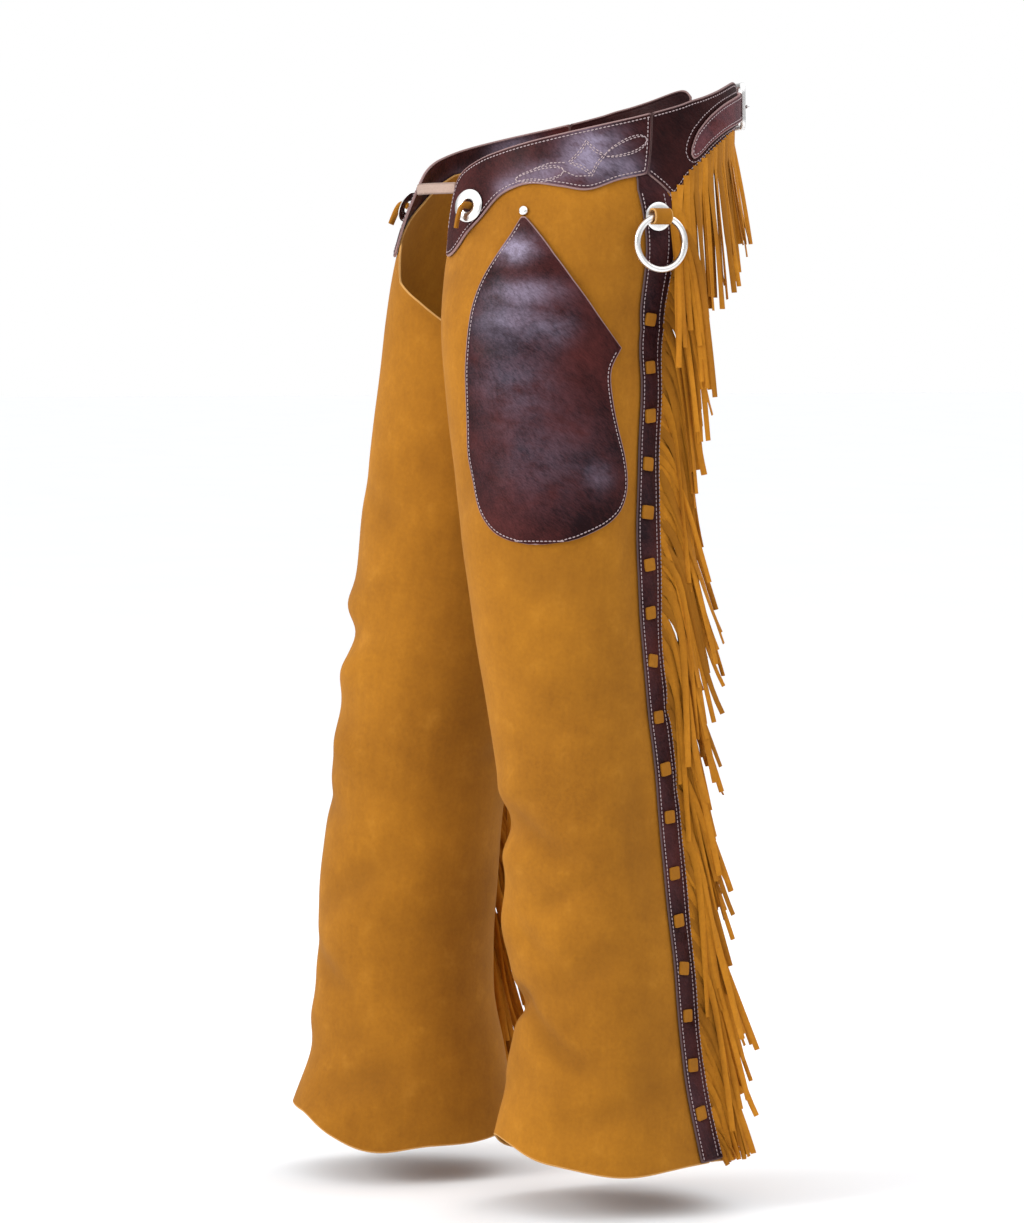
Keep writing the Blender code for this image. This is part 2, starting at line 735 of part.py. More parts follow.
def from_buckle(side, rows):
    """Rows that count from the buckle's middle, as distances from the centre back."""
    return [row._replace(across=row.across + side * BUCKLE_ACROSS) for row in rows]


def billet():
    """The left back strap: sewn to its yoke, through the buckle and over the right strap."""
    slot = [(row, STRAP_COLUMNS // 2) for row in TONGUE_SLOT_ROWS]
    rows = SEWN_STRAP + from_buckle(1, BILLET_END)
    return wall("billet_left", strap_grid(1, rows), "strap_leather", slot)


def buckle_strap():
    """The right back strap, turned round the buckle's bar."""
    rows = SEWN_STRAP + RIGHT_STRAP + from_buckle(-1, [RISE_TO_BAR])
    grid = strap_grid(-1, rows)
    bar = BUCKLE_HALF_WIDTH - BUCKLE_ACROSS
    inner, outer = BUCKLE_WIRE + 0.0006, BUCKLE_WIRE + 0.0006 + 0.0014
    for step in range(9):
        lean = math.radians(100 - 200 * step / 8)
        line = []
        for column in range(STRAP_COLUMNS + 1):
            height = BUCKLE_HEIGHT + STRAP_WIDTH * (column / STRAP_COLUMNS - 0.5)
            pair = [
                waist_point(-1, bar - reach * math.cos(lean), height, BUCKLE_LIFT + reach * math.sin(lean))
                for reach in (inner, outer)
            ]
            line.append(tuple(pair))
        grid.append(line)
    slot = [(row, STRAP_COLUMNS // 2) for row in range(len(rows) - 1, len(grid) - 1)]
    return wall("buckle_strap_right", grid, "strap_leather", slot)


def beside_buckle(x, up, out):
    """A point by its distances from the buckle's middle: to the left, up, and out from the waist."""
    return waist_point(1, BUCKLE_ACROSS + x, BUCKLE_HEIGHT + up, BUCKLE_LIFT + out)


def buckle_frame():
    """The buckle's rounded frame, bent a little with the waist. Its right upright is the bar the strap
    turns round."""
    path = []
    for corner, (sign_x, sign_z) in enumerate(((1, 1), (-1, 1), (-1, -1), (1, -1))):
        middle_x = sign_x * (BUCKLE_HALF_WIDTH - BUCKLE_CORNER)
        middle_z = sign_z * (BUCKLE_HALF_HEIGHT - BUCKLE_CORNER)
        for step in range(5):
            around = math.radians(90 * corner + 90 * step / 4)
            x = middle_x + BUCKLE_CORNER * math.cos(around)
            z = middle_z + BUCKLE_CORNER * math.sin(around)
            path.append((x, z))
    shape = bmesh.new()
    rings = []
    for place, (x, z) in enumerate(path):
        before, after = path[place - 1], path[(place + 1) % len(path)]
        ahead = Vector((after[0] - before[0], 0, after[1] - before[1])).normalized()
        outward = Vector((ahead.z, 0, -ahead.x))
        loop = []
        for turn in range(WIRE_SIDES):
            lean = 2 * math.pi * turn / WIRE_SIDES
            wide, out = BUCKLE_WIRE * math.cos(lean), BUCKLE_WIRE * math.sin(lean)
            loop.append(shape.verts.new(beside_buckle(x + outward.x * wide, z + outward.z * wide, out)))
        rings.append(loop)
    for place, first in enumerate(rings):
        second = rings[(place + 1) % len(rings)]
        for turn in range(WIRE_SIDES):
            after = (turn + 1) % WIRE_SIDES
            shape.faces.new([first[turn], first[after], second[after], second[turn]])
    return add_object("buckle_frame", shape, "nickel", smooth=True)


def buckle_tongue():
    """The tongue: hooked round the bar, up through the billet's slot and across to the frame's tip."""
    reach = BUCKLE_WIRE + GAP + TONGUE_RADIUS
    path = []
    for step in range(7):
        lean = math.radians(-80 + 170 * step / 6)
        across = -BUCKLE_HALF_WIDTH - reach * math.cos(lean) * 0.98
        path.append(beside_buckle(across, 0, reach * math.sin(lean)))
    path += [beside_buckle(x, 0, reach + 0.0004) for x in (-0.008, 0.004, 0.014, 0.0185)]
    return tube("buckle_tongue", path, TONGUE_RADIUS, "nickel")


def clear_scene():
    for old in list(bpy.data.objects):
        bpy.data.objects.remove(old, do_unlink=True)


def build():
    clear_scene()
    for side in (1, -1):
        leg(side)
        yoke(side, "yoke_front", FRONT_YOKE)
        yoke(side, "yoke_back", BACK_YOKE)
        pocket(side)
        pocket_stud(side)
        side_strip(side)
        leg_fringe(side)
        hip_fringe(side)
        side_concho(side)
        ring_loop(side)
        ring(side)
        front_concho(side)
        lace_knot(side)
    front_lace()
    billet()
    buckle_strap()
    buckle_frame()
    buckle_tongue()


build()
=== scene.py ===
# Fringed suede chaps with a scalloped leather yoke, dressed for a studio shot.
# Metres; the wearer faces -Y, +X is the wearer's left and +Z is up.
import math
import random
from collections import namedtuple

import bmesh
import bpy
import numpy as np
from mathutils import Matrix, Vector
from mathutils.noise import noise


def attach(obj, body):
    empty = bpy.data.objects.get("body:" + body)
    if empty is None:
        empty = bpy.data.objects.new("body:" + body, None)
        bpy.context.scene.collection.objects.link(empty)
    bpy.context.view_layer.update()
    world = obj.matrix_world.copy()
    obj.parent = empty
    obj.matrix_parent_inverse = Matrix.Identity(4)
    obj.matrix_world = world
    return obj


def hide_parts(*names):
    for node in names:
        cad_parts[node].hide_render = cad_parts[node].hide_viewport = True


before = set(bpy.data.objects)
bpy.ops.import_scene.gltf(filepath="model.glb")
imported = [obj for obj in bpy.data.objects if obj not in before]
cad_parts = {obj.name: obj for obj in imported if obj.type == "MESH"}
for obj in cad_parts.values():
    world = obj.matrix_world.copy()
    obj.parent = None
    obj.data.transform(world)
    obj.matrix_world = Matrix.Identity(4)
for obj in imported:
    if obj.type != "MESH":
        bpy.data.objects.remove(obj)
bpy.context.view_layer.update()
sideNames = {1: "left", -1: "right"}

camera = {
    "azimuth": 78,
    "elevation": 4,
    "distance": 4.5,
    "lens": 140.9,
    "across": -0.0733,  # where the camera looks, beside and above the waist
    "above": -0.4526,
}


def directionFrom(azimuth, elevation):
    turn, rise = math.radians(azimuth), math.radians(elevation)
    return Vector((math.sin(turn) * math.cos(rise), -math.cos(turn) * math.cos(rise), math.sin(rise)))


def aimed(name, data, target, out, away):  # a camera or light that looks back at the target
    made = bpy.data.objects.new(name, data)
    bpy.context.scene.collection.objects.link(made)
    made.location = target + out * away
    made.rotation_mode = "QUATERNION"
    made.rotation_quaternion = (-out).to_track_quat("-Z", "Y")
    return made


def addCamera():
    turn, back = math.radians(camera["azimuth"]), directionFrom(camera["azimuth"], camera["elevation"])
    right = Vector((math.cos(turn), math.sin(turn), 0))
    target = right * camera["across"] + back.cross(right) * camera["above"]
    data = bpy.data.cameras.new("studioCamera")
    data.lens = camera["lens"]
    data.clip_end = 50
    bpy.context.scene.camera = aimed("studioCamera", data, target, back, camera["distance"])
    bpy.context.scene.view_settings.view_transform = "Standard"


addCamera()
print("camera placed")

# The garment's shape: level sections of each leg, the outseam, the edges. Angles run round a leg from
# 0 in front, through 90 at the outer side, to 180 behind.
Section = namedtuple("Section", "height centreX leftY rightY front back outer inner")
sections = [
    Section(0.070, 0.036, 0.006, 0.006, 0.128, 0.119, 0.122, 0.260),
    Section(0.020, 0.036, 0.002, 0.002, 0.134, 0.125, 0.128, 0.260),
    Section(-0.040, 0.040, -0.004, -0.010, 0.137, 0.127, 0.133, 0.220),
    Section(-0.100, 0.056, -0.020, -0.042, 0.126, 0.120, 0.124, 0.110),
    Section(-0.180, 0.092, -0.052, -0.070, 0.108, 0.108, 0.090, 0.080),
    Section(-0.260, 0.097, -0.055, -0.086, 0.100, 0.103, 0.087, 0.080),
    Section(-0.370, 0.103, -0.052, -0.107, 0.092, 0.096, 0.084, 0.079),
    Section(-0.480, 0.107, -0.043, -0.125, 0.085, 0.089, 0.080, 0.077),
    Section(-0.575, 0.108, -0.031, -0.140, 0.084, 0.087, 0.078, 0.076),
    Section(-0.650, 0.108, -0.024, -0.149, 0.082, 0.087, 0.079, 0.076),
    Section(-0.730, 0.108, -0.017, -0.157, 0.084, 0.088, 0.080, 0.077),
    Section(-0.820, 0.108, -0.010, -0.161, 0.084, 0.090, 0.082, 0.078),
    Section(-0.880, 0.107, -0.008, -0.158, 0.091, 0.097, 0.086, 0.082),
    Section(-0.930, 0.106, -0.006, -0.160, 0.107, 0.106, 0.091, 0.085),
    Section(-0.990, 0.106, -0.004, -0.162, 0.128, 0.120, 0.097, 0.090),
]

Fold = namedtuple("Fold", "side height angle depth tall wide")
largeFolds = [
    Fold(1, -0.640, -4, 0.013, 0.030, 34),
    Fold(1, -0.715, 35, 0.003, 0.040, 40),
    Fold(1, -0.880, 20, 0.004, 0.035, 35),
    Fold(-1, -0.480, 2, 0.006, 0.018, 40),
    Fold(-1, -0.555, -30, 0.004, 0.030, 40),
    Fold(-1, -0.870, -35, 0.005, 0.045, 40),
]

Place = namedtuple("Place", "height angle")
outseam = [
    Place(0.070, 98),
    Place(-0.030, 98),
    Place(-0.059, 101.5),
    Place(-0.107, 113),
    Place(-0.150, 124),
    Place(-0.185, 133),
    Place(-0.230, 136),
    Place(-0.990, 136),
]
seamAngle = 136
seamSway = 76


def interpolated(table, position, keys, column):
    rows = table if getattr(table[0], keys) < getattr(table[-1], keys) else table[::-1]
    last = len(rows) - 1
    at = [getattr(row, keys) for row in rows]
    value = [getattr(row, column) for row in rows]
    if position <= at[0]:
        return value[0]
    if position >= at[last]:
        return value[last]
    low = max(i for i in range(last) if at[i] <= position)

    def slope(i):
        before, after = max(i - 1, 0), min(i + 1, last)
        return (value[after] - value[before]) / (at[after] - at[before])

    span = at[low + 1] - at[low]
    t = (position - at[low]) / span
    rise = value[low + 1] - value[low]
    start, finish = slope(low) * span, slope(low + 1) * span
    return (value[low] + t * start + t * t * (3 * rise - 2 * start - finish)
            + t**3 * (start + finish - 2 * rise))


def straight(table, position, keys, column):
    rows = table if getattr(table[0], keys) < getattr(table[-1], keys) else table[::-1]
    for first, second in zip(rows, rows[1:]):
        if position <= getattr(second, keys):
            break
    span = getattr(second, keys) - getattr(first, keys)
    t = min(max((position - getattr(first, keys)) / span, 0), 1)
    return getattr(first, column) * (1 - t) + getattr(second, column) * t


# How the leather lies on the leg, with each piece's lift off it and thickness.
skin = {
    "step": 0.0005,
    "lowest": -1.0,
    "rows": 2161,
    "suede": 0.0020,
    "panelLift": 0.0010,
    "yoke": 0.0022,
    "stripLift": 0.0011,
    "strip": 0.0018,
    "strap": 0.0020,
}
yokeOuter = skin["panelLift"] + skin["yoke"]
pocketOuter = skin["panelLift"] + skin["suede"]
perDegree = 0.0023  # how far a degree runs round the yoke, about
sewing = {"inset": 0.0031, "grooveWidth": 0.0009, "pitch": 0.0038, "lift": 0.00025}
stripOuter = skin["stripLift"] + skin["strip"]


def makeSectionTable(side):
    names = ("centreX", "leftY" if side > 0 else "rightY", "front", "back", "outer", "inner")
    heights = [skin["lowest"] + skin["step"] * row for row in range(skin["rows"])]
    return [[interpolated(sections, height, "height", name) for name in names] for height in heights]


sectionTables = {side: makeSectionTable(side) for side in (1, -1)}


def section(side, height):
    place = min(max((height - skin["lowest"]) / skin["step"], 0), skin["rows"] - 1.001)
    low = int(place)
    share = place - low
    table = sectionTables[side]
    return [first + (second - first) * share for first, second in zip(table[low], table[low + 1])]


# Small soft folds, troughs with a depth above zero and ridges below it. A slant lowers a fold by so
# much for each degree round the leg.
Crease = namedtuple("Crease", "side height angle depth tall wide slant")
creases = [
    Crease(1, -0.330, 20, 0.0016, 0.020, 26, 0.0009),
    Crease(1, -0.415, 70, 0.0012, 0.030, 46, -0.0005),
    Crease(1, -0.470, 28, -0.0018, 0.034, 30, 0.0004),
    Crease(1, -0.545, 60, 0.0014, 0.022, 36, 0.0007),
    Crease(1, -0.612, 10, -0.0040, 0.017, 26, 0.0003),
    Crease(1, -0.670, 8, -0.0042, 0.018, 26, -0.0003),
    Crease(1, -0.652, 42, 0.0024, 0.012, 30, -0.0008),
    Crease(1, -0.690, 66, -0.0018, 0.020, 28, -0.0006),
    Crease(1, -0.700, 58, 0.0020, 0.010, 30, 0.0006),
    Crease(1, -0.742, 24, 0.0022, 0.013, 26, -0.0010),
    Crease(1, -0.775, 64, 0.0018, 0.018, 30, 0.0008),
    Crease(1, -0.735, -4, -0.0036, 0.030, 26, 0.0002),
    Crease(1, -0.808, -6, 0.0080, 0.014, 24, 0.0003),
    Crease(1, -0.818, 26, 0.0030, 0.011, 22, -0.0010),
    Crease(1, -0.868, -2, -0.0034, 0.026, 26, 0.0000),
    Crease(1, -0.852, 52, 0.0026, 0.013, 30, -0.0007),
    Crease(1, -0.905, 74, 0.0018, 0.016, 34, 0.0006),
    Crease(1, -0.900, 20, -0.0026, 0.020, 30, 0.0003),
    Crease(1, -0.640, 112, 0.0030, 0.070, 16, 0.0000),
    Crease(1, -0.380, 124, 0.0022, 0.060, 9, 0.0000),
    Crease(1, -0.860, 106, 0.0026, 0.050, 15, 0.0000),
    Crease(-1, -0.352, -20, 0.0020, 0.020, 30, 0.0006),
    Crease(-1, -0.452, 10, -0.0030, 0.017, 30, 0.0003),
    Crease(-1, -0.512, -4, -0.0032, 0.018, 32, -0.0004),
    Crease(-1, -0.535, 40, 0.0022, 0.013, 30, -0.0008),
    Crease(-1, -0.588, -12, -0.0022, 0.016, 30, 0.0006),
    Crease(-1, -0.640, 6, 0.0020, 0.016, 34, 0.0005),
    Crease(-1, -0.720, -34, 0.0024, 0.020, 30, -0.0006),
    Crease(-1, -0.800, -16, 0.0026, 0.016, 30, 0.0007),
    Crease(-1, -0.850, 10, -0.0024, 0.020, 30, -0.0004),
    Crease(-1, -0.905, -52, 0.0026, 0.018, 34, -0.0005),
    Crease(-1, -0.640, 112, 0.0028, 0.070, 16, 0.0000),
    Crease(-1, -0.860, 106, 0.0026, 0.050, 15, 0.0000),
    # the back of the knee and the seat of each leg
    Crease(1, -0.520, 186, 0.0036, 0.012, 30, 0.0004),
    Crease(1, -0.556, 196, 0.0044, 0.011, 32, -0.0005),
    Crease(1, -0.588, 180, 0.0032, 0.012, 26, 0.0006),
    Crease(1, -0.300, 200, 0.0028, 0.018, 30, 0.0010),
    Crease(-1, -0.500, 188, 0.0036, 0.012, 30, -0.0004),
    Crease(-1, -0.538, 178, 0.0044, 0.011, 32, 0.0005),
    Crease(-1, -0.574, 198, 0.0032, 0.012, 28, -0.0006),
    Crease(-1, -0.290, 196, 0.0028, 0.018, 30, 0.0010),
]
drape = {
    "swell": 0.0011,  # broad unevenness all over a leg
    "deepen": 1.9,
    "fadeFrom": -0.125,  # the yoke's fittings sit on unfolded leather above this
    "fadeOver": 0.080,
    "top": 0.08,
    "bottom": -1.0,
    "rows": 541,
    "angleStep": 2.0,
}
Swell = namedtuple("Swell", "waves tall phase share")
swells = [Swell(2, 21, 0.4, 0.5), Swell(3, -33, 1.9, 0.4), Swell(5, 47, 3.3, 0.25), Swell(4, 71, 5.2, 0.2)]


def makeShiftTable(side):
    heights = np.linspace(drape["top"], drape["bottom"], drape["rows"])[:, None]
    angles = np.arange(-180, 180 + drape["angleStep"], drape["angleStep"])[None, :]
    depth = np.zeros((heights.shape[0], angles.shape[1]))
    for crease in creases:
        if crease.side == side:
            along = (angles - crease.angle + 180) % 360 - 180
            down = (heights - crease.height - crease.slant * along) / crease.tall
            depth += drape["deepen"] * crease.depth * np.exp(-down**2 - (along / crease.wide) ** 2)
    turn = np.radians(angles)
    for swell in swells:
        wave = np.sin(swell.waves * turn + swell.tall * heights + swell.phase + side)
        depth += drape["swell"] * swell.share * wave
    fade = np.clip((drape["fadeFrom"] - heights) / drape["fadeOver"], 0, 1)
    return (depth * fade * fade * (3 - 2 * fade)).tolist()


shiftTables = {side: makeShiftTable(side) for side in (1, -1)}


def softShift(side, height, wrapped):
    table = shiftTables[side]
    share = (drape["top"] - height) / (drape["top"] - drape["bottom"])
    down = min(max(share * (drape["rows"] - 1), 0), drape["rows"] - 1.001)
    along = (wrapped + 180) / drape["angleStep"]
    row, column = int(down), int(along)
    v, u = down - row, along - column
    after = min(column + 1, len(table[0]) - 1)
    upper = table[row][column] * (1 - u) + table[row][after] * u
    lower = table[row + 1][column] * (1 - u) + table[row + 1][after] * u
    return upper * (1 - v) + lower * v


def foldDepth(side, height, angle):
    depth = 0
    for fold in largeFolds:
        if fold.side == side:
            down = (height - fold.height) / fold.tall
            along = (angle - fold.angle) / fold.wide
            depth += fold.depth * math.exp(-down * down - along * along)
    return depth


def skinPoint(side, height, angle):
    centreX, centreY, front, back, outer, inner = section(side, height)
    wrapped = (angle + 180) % 360 - 180
    sunk = foldDepth(side, height, wrapped) + softShift(side, height, wrapped)
    sine, cosine = math.sin(math.radians(angle)), math.cos(math.radians(angle))
    reachX = (outer if sine > 0 else inner) - sunk
    reachY = (front if cosine > 0 else back) - sunk
    return Vector((side * (centreX + reachX * sine), centreY - reachY * cosine, height))


def skinNormal(side, height, angle):
    around = skinPoint(side, height, angle + 1) - skinPoint(side, height, angle - 1)
    up = skinPoint(side, height + 0.002, angle) - skinPoint(side, height - 0.002, angle)
    return (side * around.cross(up)).normalized()


def degreeLength(side, height, angle):
    return (skinPoint(side, height, angle + 1) - skinPoint(side, height, angle)).length


def lifted(side, height, angle, lift):
    return skinPoint(side, height, angle) + skinNormal(side, height, angle) * lift


def pushedOut(side, point, clearance):  # keeps hanging leather off the leg
    centreX, centreY, front, back, outer, inner = section(side, point.z)
    x, y = side * point.x - centreX, point.y - centreY
    reachX = (outer if x > 0 else inner) + clearance
    reachY = (front if y < 0 else back) + clearance
    out = math.hypot(x / reachX, y / reachY)
    if out >= 1 or out < 0.3:
        return point
    return Vector((side * (centreX + x / out), centreY + y / out, point.z))


def seamAt(height):
    return straight(outseam, height, "height", "angle")


print("surfaces ready")


class Signal:  # a number that varies over a surface
    def __init__(self, finish, socket):
        self.finish, self.socket = finish, socket

    def worked(self, operation, first, second):
        return self.finish.add("ShaderNodeMath", {"operation": operation}, {0: first, 1: second})

    def __add__(self, other):
        return self.worked("ADD", self, other)

    def __radd__(self, other):
        return self.worked("ADD", other, self)

    def __sub__(self, other):
        return self.worked("SUBTRACT", self, other)

    def __rsub__(self, other):
        return self.worked("SUBTRACT", other, self)

    def __mul__(self, other):
        return self.worked("MULTIPLY", self, other)

    def __rmul__(self, other):
        return self.worked("MULTIPLY", other, self)

    def __truediv__(self, other):
        return self.worked("DIVIDE", self, other)

    def __rtruediv__(self, other):
        return self.worked("DIVIDE", other, self)

    def clamped(self):
        return self.finish.add("ShaderNodeClamp", {}, {0: self, 1: 0.0, 2: 1.0})

    def between(self, low, high):  # a soft step from 0 at low to 1 at high
        settings = {"interpolation_type": "SMOOTHSTEP"}
        return self.finish.add("ShaderNodeMapRange", settings, {0: self, 1: low, 2: high, 3: 0.0, 4: 1.0})


class Finish:
    def __init__(self, name):
        self.material = bpy.data.materials.new(name)
        self.material.use_nodes = True
        self.tree = self.material.node_tree
        self.shader = self.tree.nodes["Principled BSDF"]

    def add(self, kind, settings, values, output=0):
        node = self.tree.nodes.new(kind)
        for key, value in settings.items():
            setattr(node, key, value)
        for key, value in values.items():
            self.feed(node.inputs[key], value)
        return Signal(self, node.outputs[output])

    def feed(self, socket, value):
        if isinstance(value, Signal):
            self.tree.links.new(value.socket, socket)
        elif hasattr(value, "__len__") and len(value) == 3 and socket.type == "RGBA":
            socket.default_value = (*value, 1)
        else:
            socket.default_value = value

    def set(self, **values):
        for key, value in values.items():
            self.feed(self.shader.inputs[key.replace("_", " ")], value)

    def place(self, scale=(1, 1, 1), turn=(0, 0, 0)):
        at = self.add("ShaderNodeTexCoord", {}, {}, output=3)
        if any(turn):  # turned first, so that the stretch follows the turn
            turned = tuple(math.radians(part) for part in turn)
            at = self.add("ShaderNodeMapping", {}, {"Vector": at, "Rotation": turned})
        return self.add("ShaderNodeMapping", {}, {"Vector": at, "Scale": scale})

    def noise(self, scale, detail=2.0, rough=0.5, at=None):
        values = {"Vector": at or self.place(), "Scale": scale, "Detail": detail, "Roughness": rough}
        return self.add("ShaderNodeTexNoise", {}, values)

    def attribute(self, name):
        return self.add("ShaderNodeAttribute", {"attribute_name": name}, {}, output=2)

    def blend(self, share, first, second):
        settings = {"data_type": "RGBA", "blend_type": "MIX", "clamp_factor": True}
        return self.add("ShaderNodeMix", settings, {0: share, 6: first, 7: second}, output=2)

    def bump(self, height, strength, distance, normal=None):
        values = {"Strength": strength, "Distance": distance, "Height": height}
        if normal:
            values["Normal"] = normal
        return self.add("ShaderNodeBump", {}, values)


def toned(colour, tone):
    return tuple(part * tone for part in colour)


suede = {
    "dark": (0.262, 0.096, 0.0065),
    "light": (0.452, 0.179, 0.0125),
    "bright": (0.520, 0.226, 0.028),
    # painted shade: the colour laid into fold troughs, and onto shaded fringe strands
    "paintedShade": (0.185, 0.066, 0.006),
    "edge": (0.600, 0.330, 0.110),
    "roughness": 0.93,
    "nap": 0.22,
}


def suedeFinish(name, tone=1.0, strands=False):
    finish = Finish(name)
    cloud = finish.noise(6.5, 3.0, 0.5)
    mottle = finish.noise(38, 4.0, 0.62)
    nap = finish.noise(300, 3.0, 0.6)
    fibre = finish.noise(1400, 2.0, 0.5)
    brushed = finish.noise(1, 3.0, 0.6, finish.place((150, 150, 26), (6, 4, 0)))
    share = 0.42 + (cloud - 0.5) * 1.5 + (mottle - 0.5) * 0.75 + (nap - 0.5) * 0.60 + (brushed - 0.5) * 0.3
    colour = finish.blend(share.clamped(), toned(suede["dark"], tone), toned(suede["light"], tone))
    colour = finish.blend(mottle.between(0.56, 0.86) * 0.35, colour, toned(suede["bright"], tone))
    # painted shade in the folds, darker the deeper each fold sinks
    colour = finish.blend(finish.attribute("paintedShade").clamped(), colour, suede["paintedShade"])
    if strands:
        # painted shade on the fringe: shaded strands and each strand's root go towards the shade colour
        colour = finish.blend(finish.attribute("strand").between(0.3, 1.0) * 0.55, colour, suede["paintedShade"])
    else:
        rim = 1 - (finish.attribute("edge") + (nap - 0.5) * 0.0008).between(0.0002, 0.0012)
        colour = finish.blend(rim * 0.8, colour, suede["edge"])
    finish.set(Base_Color=colour, Roughness=(suede["roughness"] + (nap - 0.5) * 0.10).clamped())
    coarse = finish.bump(mottle * 0.6 + brushed * 0.4, 0.35, 0.0016)
    finish.set(Normal=finish.bump(nap * 0.65 + fibre * 0.35, suede["nap"], 0.0010, coarse))
    finish.set(Sheen_Weight=0.09, Sheen_Roughness=0.55, Sheen_Tint=(0.95, 0.62, 0.25))
    finish.set(Specular_IOR_Level=0.18)
    return finish.material


leather = {
    "dark": (0.0105, 0.0014, 0.0020),
    "warm": (0.0800, 0.0175, 0.0160),
    # painted sheen: a purplish grey that stands in for light reflected off the leather
    "paintedSheen": (0.2700, 0.2250, 0.3100),
    "edge": (0.350, 0.225, 0.215),
    "roughness": 0.47,
}


def leatherFinish(name, warm=1.0, sheenHaze=0.05, edgeTone=1.0):
    finish = Finish(name)
    cloud = finish.noise(15, 4.0, 0.6)
    smoke = finish.noise(30, 5.0, 0.66, finish.place((1, 1, 1.9), (18, 10, 0)))
    streak = finish.noise(1, 4.0, 0.66, finish.place((640, 760, 130), (-55, 0, 0)))
    crossed = finish.noise(1, 3.0, 0.6, finish.place((300, 340, 70), (-32, 0, 0)))
    pore = finish.add("ShaderNodeTexVoronoi", {}, {"Vector": finish.place(), "Scale": 560.0})
    grain = finish.noise(820, 3.0, 0.6)
    share = 0.40 + (cloud - 0.5) * 2.4 + (streak - 0.5) * 1.0 + (crossed - 0.5) * 0.6 + (grain - 0.5) * 0.6
    colour = finish.blend(share.clamped(), leather["dark"], toned(leather["warm"], warm))
    # painted sheen: laid where the sheen attribute asks, broken up by noise, with hazy patches of it all
    # over
    paintedSheen = finish.attribute("paintedSheen") * (smoke * 3.2 - 0.75).clamped() + smoke.between(0.58, 0.84) * sheenHaze
    veil = paintedSheen * (0.72 + (streak - 0.5) * 1.1 + (crossed - 0.5) * 0.8)
    colour = finish.blend(veil.clamped(), colour, leather["paintedSheen"])
    edge = finish.attribute("edge")
    rim = 1 - (edge + (grain - 0.5) * 0.0007).between(0.0003, 0.0011)
    rim = rim * (1 - finish.attribute("seam") * 0.75)
    colour = finish.blend(rim * 0.85, colour, toned(leather["edge"], edgeTone))
    rough = leather["roughness"] + (smoke - 0.5) * 0.3 + rim * 0.3
    finish.set(Base_Color=colour, Roughness=rough.clamped())
    height = grain * 0.35 + pore * 0.45 + streak * 0.4
    surface = finish.bump(height, 0.32, 0.0007, finish.bump(smoke + cloud, 0.30, 0.0060))
    away = (edge - sewing["inset"]) / sewing["grooveWidth"]  # the thread draws the leather in
    groove = 1 / (1 + away * away * 2.0)
    surface = finish.bump(1 - groove, 0.55, 0.0005, surface)
    finish.set(Normal=surface, Coat_Weight=0.02, Coat_Roughness=0.34, Specular_IOR_Level=0.08)
    return finish.material


def threadFinish():
    finish = Finish("thread")
    twist = finish.noise(1, 2.0, 0.5, finish.place((1900, 1900, 1900)))
    colour = finish.blend(twist, (0.300, 0.215, 0.225), (0.560, 0.445, 0.450))
    finish.set(Base_Color=colour, Roughness=0.72, Normal=finish.bump(twist, 0.4, 0.0003))
    return finish.material


def metalFinish():
    finish = Finish("nickelPlate")
    smear = finish.noise(70, 4.0, 0.65)
    scratch = finish.noise(1, 3.0, 0.6, finish.place((900, 900, 160), (20, 30, 0)))
    colour = finish.blend(smear.between(0.35, 0.75), (0.930, 0.918, 0.900), (0.800, 0.780, 0.760))
    rough = 0.27 + (smear - 0.4) * 0.26 + (scratch - 0.5) * 0.08
    finish.set(Base_Color=colour, Metallic=1.0, Roughness=rough.clamped())
    finish.set(Normal=finish.bump(scratch, 0.06, 0.0003))
    return finish.material


def laceFinish():
    finish = Finish("fleshLace")
    fibre = finish.noise(1, 4.0, 0.65, finish.place((220, 900, 900)))
    cloud = finish.noise(60, 3.0, 0.55)
    share = (fibre * 0.7 + cloud * 0.3).clamped()
    colour = finish.blend(share, (0.240, 0.150, 0.115), (0.520, 0.375, 0.305))
    rim = 1 - finish.attribute("edge").between(0.0003, 0.0012)
    colour = finish.blend(rim * 0.5, colour, (0.150, 0.085, 0.065))
    finish.set(Base_Color=colour, Roughness=0.82, Normal=finish.bump(fibre, 0.4, 0.0006))
    return finish.material


finishes = {
    "suede": suedeFinish("legSuede", 0.97),
    # painted light: the fringe suede is a lighter copy of the leg suede, against the shade the strands hang
    # in
    "strands": suedeFinish("fringeSuedeLightened", 1.44, strands=True),
    "yoke": leatherFinish("yokeLeather"),
    "yokeBack": leatherFinish("backYokeLeather", warm=0.55, sheenHaze=0.02, edgeTone=0.8),
    "strap": leatherFinish("strapLeather", warm=2.1),
    "strip": leatherFinish("stripLeather", warm=0.85, sheenHaze=0.01, edgeTone=0.34),
    "thread": threadFinish(),
    "metal": metalFinish(),
    "lace": laceFinish(),
}
print("finishes ready")


def dressed(piece, finish, nodes=(), body="chaps", smoothAngle=50):
    piece.data.materials.clear()
    piece.data.materials.append(finishes[finish])
    if smoothAngle is not None:
        piece.data.shade_smooth()
        piece.data.set_sharp_from_angle(angle=math.radians(smoothAngle))
    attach(piece, body)
    if nodes:
        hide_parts(*nodes)
    return piece


def linked(name, verts, faces, values):
    mesh = bpy.data.meshes.new(name)
    mesh.from_pydata(verts, [], faces)
    for key, numbers in values.items():
        stored = mesh.attributes.new(key, "FLOAT", "POINT")
        stored.data.foreach_set("value", np.asarray(numbers, dtype=np.float32))
    mesh.update()
    made = bpy.data.objects.new(name, mesh)
    bpy.context.scene.collection.objects.link(made)
    return made


